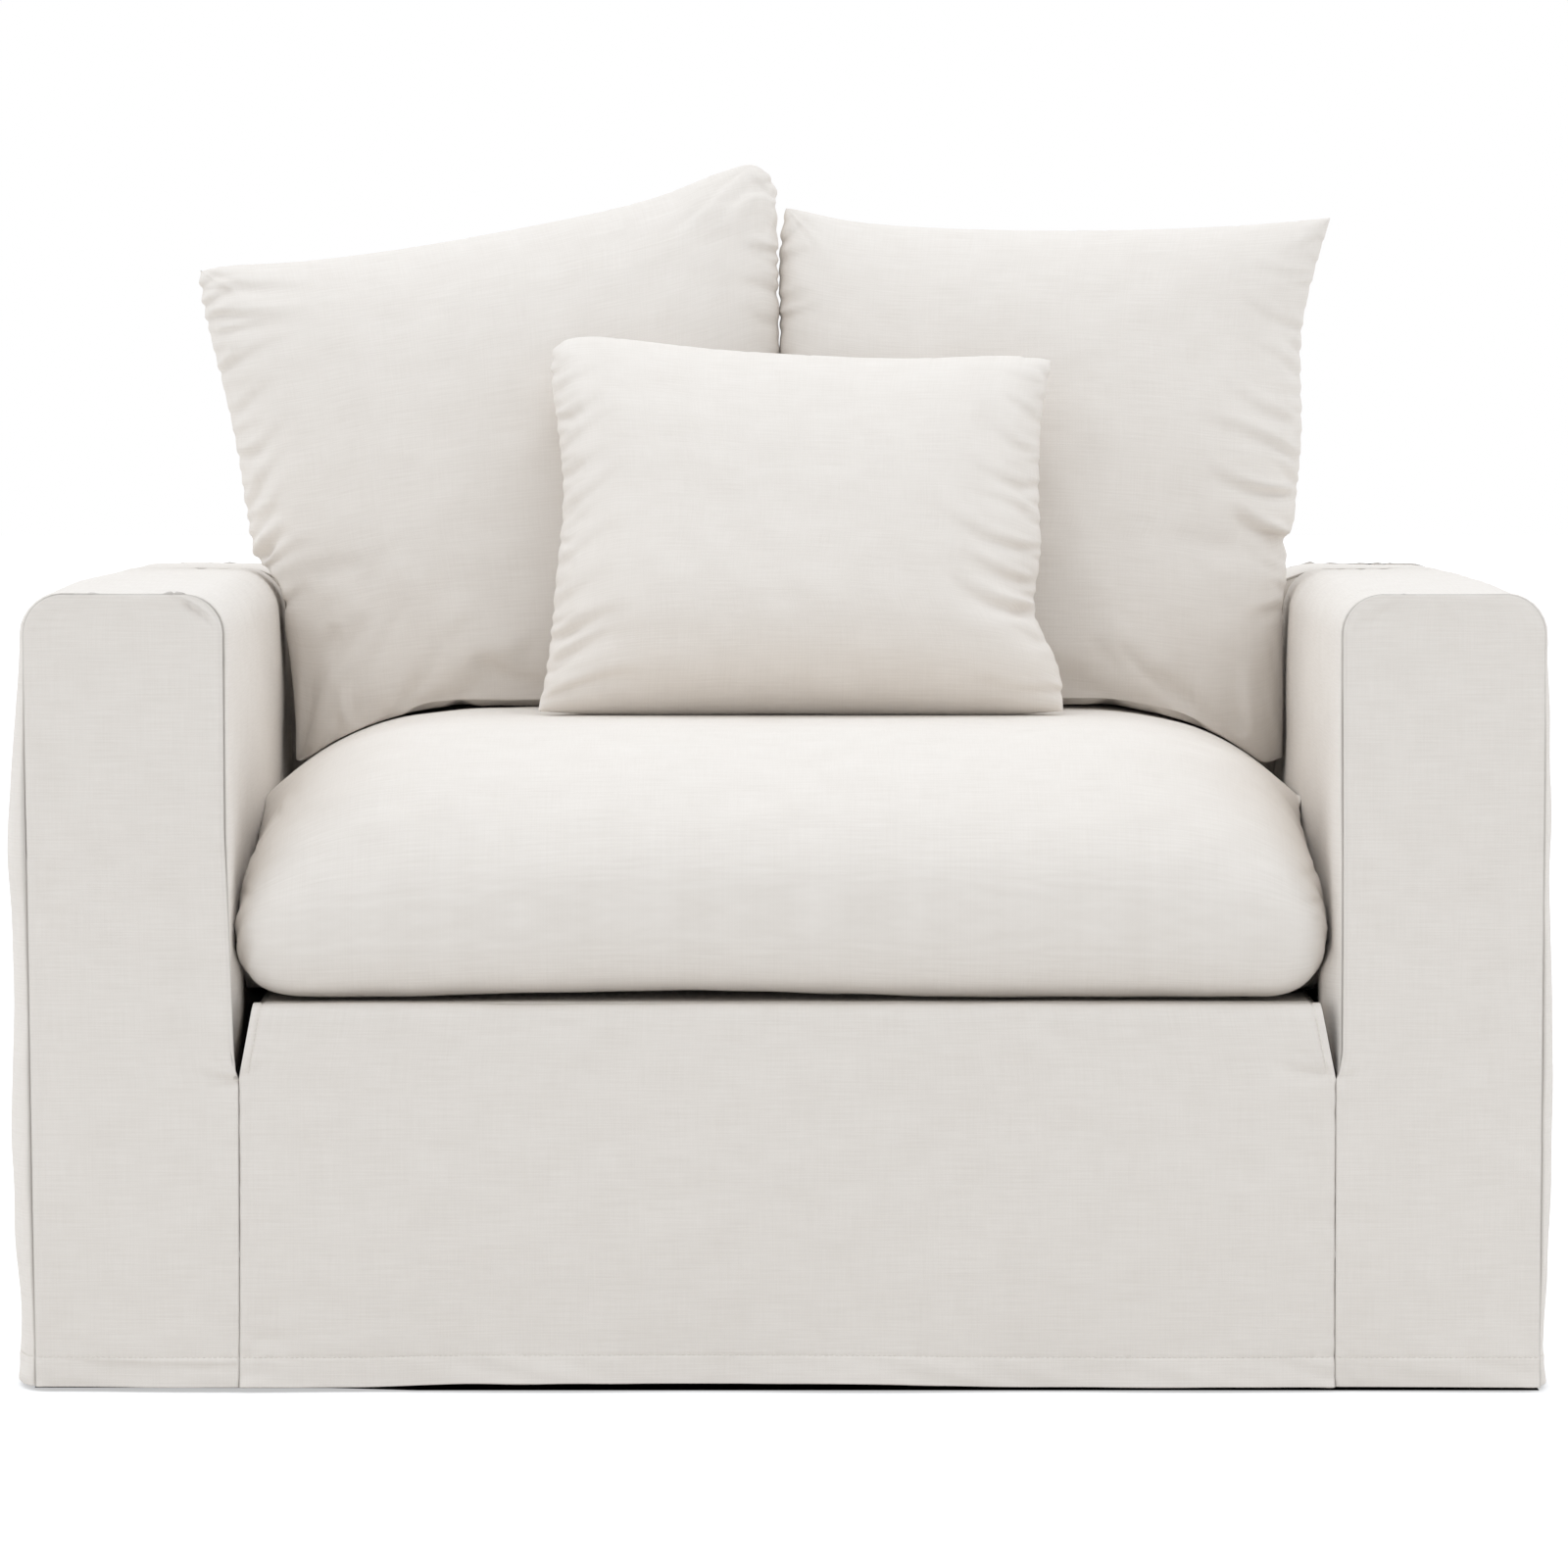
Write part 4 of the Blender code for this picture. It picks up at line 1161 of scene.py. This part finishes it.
def back_cushion(node, outline, creases, pulls, side_of_meeting, seed):
    """Knife-edged back cushion, standing on the seat and leaning on the inside back."""
    left = gathers(outline["left"], 1, 0.30, 1.0, 0.016, 0.030, 0.0022, 30, seed + 2)
    right = gathers(outline["right"], -1, 0.30, 1.0, 0.018, 0.028, 0.0020, 20, seed + 3)
    top = gathers(outline["top"], 1, 0.04, 0.97, 0.045, 0.014, 0.0007, -70, seed + 4)
    small = left + right + top

    def place(a, b, side):
        full = fullness(a, b, low=4.0)
        a, b = soft_corner(a, b, pulls)
        u, v = (a + 1) / 2, (b + 1) / 2
        x, z = patch(outline, u, v)
        y = BACK_BASE_Y + BACK_LEAN * (z - BACK_BASE_Z)
        y = y - np.where(side > 0, BACK_FRONT_HALF * full * (1 - 0.45 * v), 0.0)
        y = y + np.where(side < 0, BACK_REAR_HALF * full, 0.0)
        return np.stack((x, y, z - BACK_SLUMP * full * (1 - v) ** 3), axis=-1)

    def hold(points, side):
        x, y, z = points.T
        over_arm = 0.92 * rounding(z - ARM_CROWN) + 1.1 * np.maximum(z - ARM_HEIGHT - ARM_CROWN, 0.0)
        reach = SEAT_HALF - GAP - 0.0010 + over_arm
        x = clamp(x, -reach, reach)
        floor = seat_top(x, 0.1) + GAP + 0.0012 * clamp((np.abs(x) - SEAT_PLATEAU) / 0.06)
        z = np.maximum(z, floor)
        y = np.maximum(y, rest_plane(z) + GAP / 2)
        y = np.minimum(y, BACK_FRONT - GAP + 0.5 * np.maximum(z - ARM_HEIGHT - 0.035, 0.0))
        edge = meeting(y) + side_of_meeting * GAP / 2
        x = np.maximum(x, edge) if side_of_meeting > 0 else np.minimum(x, edge)
        return np.stack((x, y, z), axis=-1)

    def relief(points, a, b, side):
        x, y, z = points.T
        soft = 0.0015 * ripple(x, z, 0.17, seed) + 0.0005 * ripple(x, z, 0.06, seed + 1)
        inside = clamp(fullness(a, b) * 2.5)
        return soft * inside + folds(x, z, creases) * clamp(side) * inside + folds(x, z, small)

    return cushion(node, (90, 100), place, hold, relief, (0.50, 0.50), 3.0, 0.010)


def scatter_cushion():
    """Small cushion standing on the seat and leaning on the back cushions."""
    left = gathers(SCATTER_CUSHION["left"], 1, 0.06, 0.97, 0.015, 0.028, 0.0020, 28, 143)
    right = gathers(SCATTER_CUSHION["right"], -1, 0.06, 0.97, 0.016, 0.030, 0.0021, 24, 144)
    top = gathers(SCATTER_CUSHION["top"], 1, 0.04, 0.96, 0.040, 0.012, 0.0006, -75, 145)
    small = left + right + top

    def place(a, b, side):
        full = fullness(a, b, 0.56, 3.6)
        a, b = soft_corner(a, b, SCATTER_PULLS)
        x, z = patch(SCATTER_CUSHION, (a + 1) / 2, (b + 1) / 2)
        y = SCATTER_BASE_Y + SCATTER_LEAN * (z - SEAT_TOP)
        y = y + np.select((side > 0, side < 0), (-0.085 * full, 0.062 * full), 0.0)
        rise = 0.040 * full * (1 - 0.8 * ease((b + 1) / 2))
        z = z + np.select((side > 0, side < 0), (rise, -0.030 * full), 0.0)
        return np.stack((x, y, z), axis=-1)

    def hold(points, side):
        x, y, z = points.T
        z = np.maximum(z, SEAT_TOP + GAP)
        return np.stack((x, np.minimum(y, rest_plane(z) - GAP / 2), z), axis=-1)

    def relief(points, a, b, side):
        x, y, z = points.T
        soft = 0.0012 * ripple(x, z, 0.14, 141) + 0.0005 * ripple(x, z, 0.05, 142)
        inside = clamp(fullness(a, b) * 2.5)
        return soft * inside + folds(x, z, SCATTER_CREASES) * clamp(side) * inside + folds(x, z, small)

    return cushion("scatter_cushion", (90, 100), place, hold, relief, (0.45, 0.45), 3.0, 0.010)


# ---------------------------------------------------------------- stitching
def stitch_row(marks, way, points, normals, length, width):
    """A mesh of the stitches at some marks along a run."""
    row = bmesh.new()
    for mark in marks:
        before, here, after = (np.array([np.interp(mark + shift, way, points[:, k]) for k in range(3)])
                               for shift in (-length / 2, 0.0, length / 2))
        out = Vector([np.interp(mark, way, normals[:, k]) for k in range(3)]).normalized()
        ahead = Vector(after - before).normalized()
        beside = out.cross(ahead).normalized()
        turn = Matrix((ahead, beside, ahead.cross(beside))).transposed().to_4x4()
        size = Matrix.Diagonal((length / 2, width, width * 0.8, 1.0))
        spot = Matrix.Translation(Vector(here) + out * width * 0.35) @ turn @ size
        bmesh.ops.create_uvsphere(row, u_segments=6, v_segments=4, radius=1.0, matrix=spot)
    mesh = bpy.data.meshes.new("stitch_row")
    row.to_mesh(mesh)
    row.free()
    return mesh


def sew(name, runs, spacing=0.0042, length=0.0030, width=0.00045):
    """Rows of small stitches along runs of (points, normals)."""
    shell = bmesh.new()
    for points, normals in runs:
        steps = np.linalg.norm(np.diff(points, axis=0), axis=1)
        way = np.concatenate(([0.0], np.cumsum(steps)))
        marks = np.arange(spacing / 2, way[-1], spacing)
        for part in np.array_split(marks, len(marks) // 30 + 1):
            mesh = stitch_row(part, way, points, normals, length, width)
            shell.from_mesh(mesh)
            bpy.data.meshes.remove(mesh)
    points = np.array([point.co for point in shell.verts])
    return finish(name, shell, points, None, THREAD)


def hem_runs():
    """The hem's stitching on each panel that reaches the floor."""
    runs = []
    for panel in (facing_left, facing_right, apron, back):
        u = np.linspace(panel.across[0] + 0.002, panel.across[-1] - 0.002, 300)
        runs.append(panel.at(u, np.full_like(u, HEM_STITCH)))
    for panel, places in ((side_left, (0,)), (side_right, (1,)), (band, (0, 1))):
        v = np.linspace(panel.along[0] + 0.002, panel.along[-1] - 0.002, 300)
        for end in places:
            s = panel.across[-1] - HEM_STITCH if end else HEM_STITCH
            runs.append(panel.at(np.full_like(v, s), v))
    return runs


def slit_runs():
    """Stitching beside the apron's two slits."""
    v = np.linspace(TUCK_FOOT + 0.004, DECK_HEIGHT - APRON_ROLL, 60)
    return [apron.at(np.full_like(v, u), v) for u in (SLIT_HEM, apron.across[-1] - SLIT_HEM)]


# ---------------------------------------------------------------- the slipcover
facing_left = arm_facing(-1, "arm_facing_left")
facing_right = arm_facing(1, "arm_facing_right")
side_left = arm_panel(-1, "arm_panel_left")
side_right = arm_panel(1, "arm_panel_right")
band = back_band()
inside_back()
back = outside_back()
seat_deck()
apron = front_apron()
seat_cushion()
back_cushion("back_cushion_left", LEFT_CUSHION, LEFT_CREASES, LEFT_PULLS, -1, 131)
back_cushion("back_cushion_right", RIGHT_CUSHION, RIGHT_CREASES, RIGHT_PULLS, 1, 135)
scatter_cushion()
sew("hem_stitching", hem_runs())
sew("slit_stitching", slit_runs())


# ---------------------------------------------------------------- stage
def lay(name, shell, finish_values):
    """Put a flat matt piece of the stage in place."""
    dye = Dye(bpy.data.materials.new(name))
    matt = {"Roughness": 1.0, "Specular IOR Level": 0.0}
    dye.fill(dye.shader, matt | finish_values(dye))
    mesh = bpy.data.meshes.new(name)
    shell.to_mesh(mesh)
    shell.free()
    mesh.materials.append(dye.owner)
    ground = bpy.data.objects.new(name, mesh)
    bpy.context.scene.collection.objects.link(ground)


def floor():
    """Plain pale floor."""

    def pale(dye):
        seen = dye.node("ShaderNodeLightPath", {}, {}, "Is Camera Ray")
        return {
            "Base Color": dye.blend(seen, FLOOR_BOUNCE, FLOOR_TONE),
            "Emission Strength": dye.node("ShaderNodeMix", {}, {0: seen, 2: 0.0, 3: FLOOR_GLOW}),
            "Emission Color": WHITE,
        }

    shell = bmesh.new()
    bmesh.ops.create_grid(shell, x_segments=1, y_segments=1, size=30.0)
    bmesh.ops.translate(shell, vec=(0.0, 0.0, -FLOOR_DROP), verts=shell.verts[:])
    lay("floor", shell, pale)


def painted_shadow_below():
    """Painted shadow: a dark sheet under the cover, which shows as a line below the hem, thinner at the
    left end.
    """
    corners = ((-0.595, 0.021), (-0.360, 0.018), (-0.290, 0.004), (0.598, 0.004), (0.590, DEPTH - 0.02),
               (-0.590, DEPTH - 0.02))
    shell = bmesh.new()
    shell.faces.new([shell.verts.new((x, FRONT + behind, PAINTED_SHADOW_LIFT - FLOOR_DROP)) for x, behind in corners])
    lay("painted_shadow_below", shell, lambda dye: {"Base Color": PAINTED_SHADOW_COLOUR})


def surroundings():
    """White all round for the camera, and as light the glow of a few large soft lights."""
    studio = Dye(bpy.data.worlds.new("studio"))
    bpy.context.scene.world = studio.owner
    look = studio.node("ShaderNodeTexCoord", {}, {}, "Generated")
    total = EVEN_LIGHT
    for azimuth, height, narrowness, strength in SOFT_LIGHTS:
        turn, rise = math.radians(azimuth), math.radians(height)
        toward = (math.sin(turn) * math.cos(rise), -math.cos(turn) * math.cos(rise), math.sin(rise))
        both = {0: look, 1: toward}
        facing = studio.node("ShaderNodeVectorMath", {"operation": "DOT_PRODUCT"}, both, "Value")
        lit = facing.maths("MAXIMUM", facing, 0.0)
        total = total + facing.maths("POWER", lit, narrowness) * strength
    seen = studio.node("ShaderNodeLightPath", {}, {}, "Is Camera Ray")
    studio.fill(studio.shader, {
        "Strength": studio.node("ShaderNodeMix", {}, {0: seen, 2: total, 3: 1.0}),
        "Color": studio.blend(seen, LIGHT_TINT, WHITE),
    })


def camera():
    lens = bpy.data.cameras.new("camera")
    lens.sensor_width = SENSOR
    lens.lens = CAMERA_LENS
    lens.clip_end = 100.0
    view = bpy.data.objects.new("camera", lens)
    view.location = (0.0, FRONT - CAMERA_DISTANCE, CAMERA_HEIGHT)
    view.rotation_euler = (math.pi / 2 - CAMERA_TILT, 0.0, 0.0)
    bpy.context.scene.collection.objects.link(view)
    bpy.context.scene.camera = view


floor()
painted_shadow_below()
camera()
surroundings()
bpy.context.scene.view_settings.view_transform = "Standard"
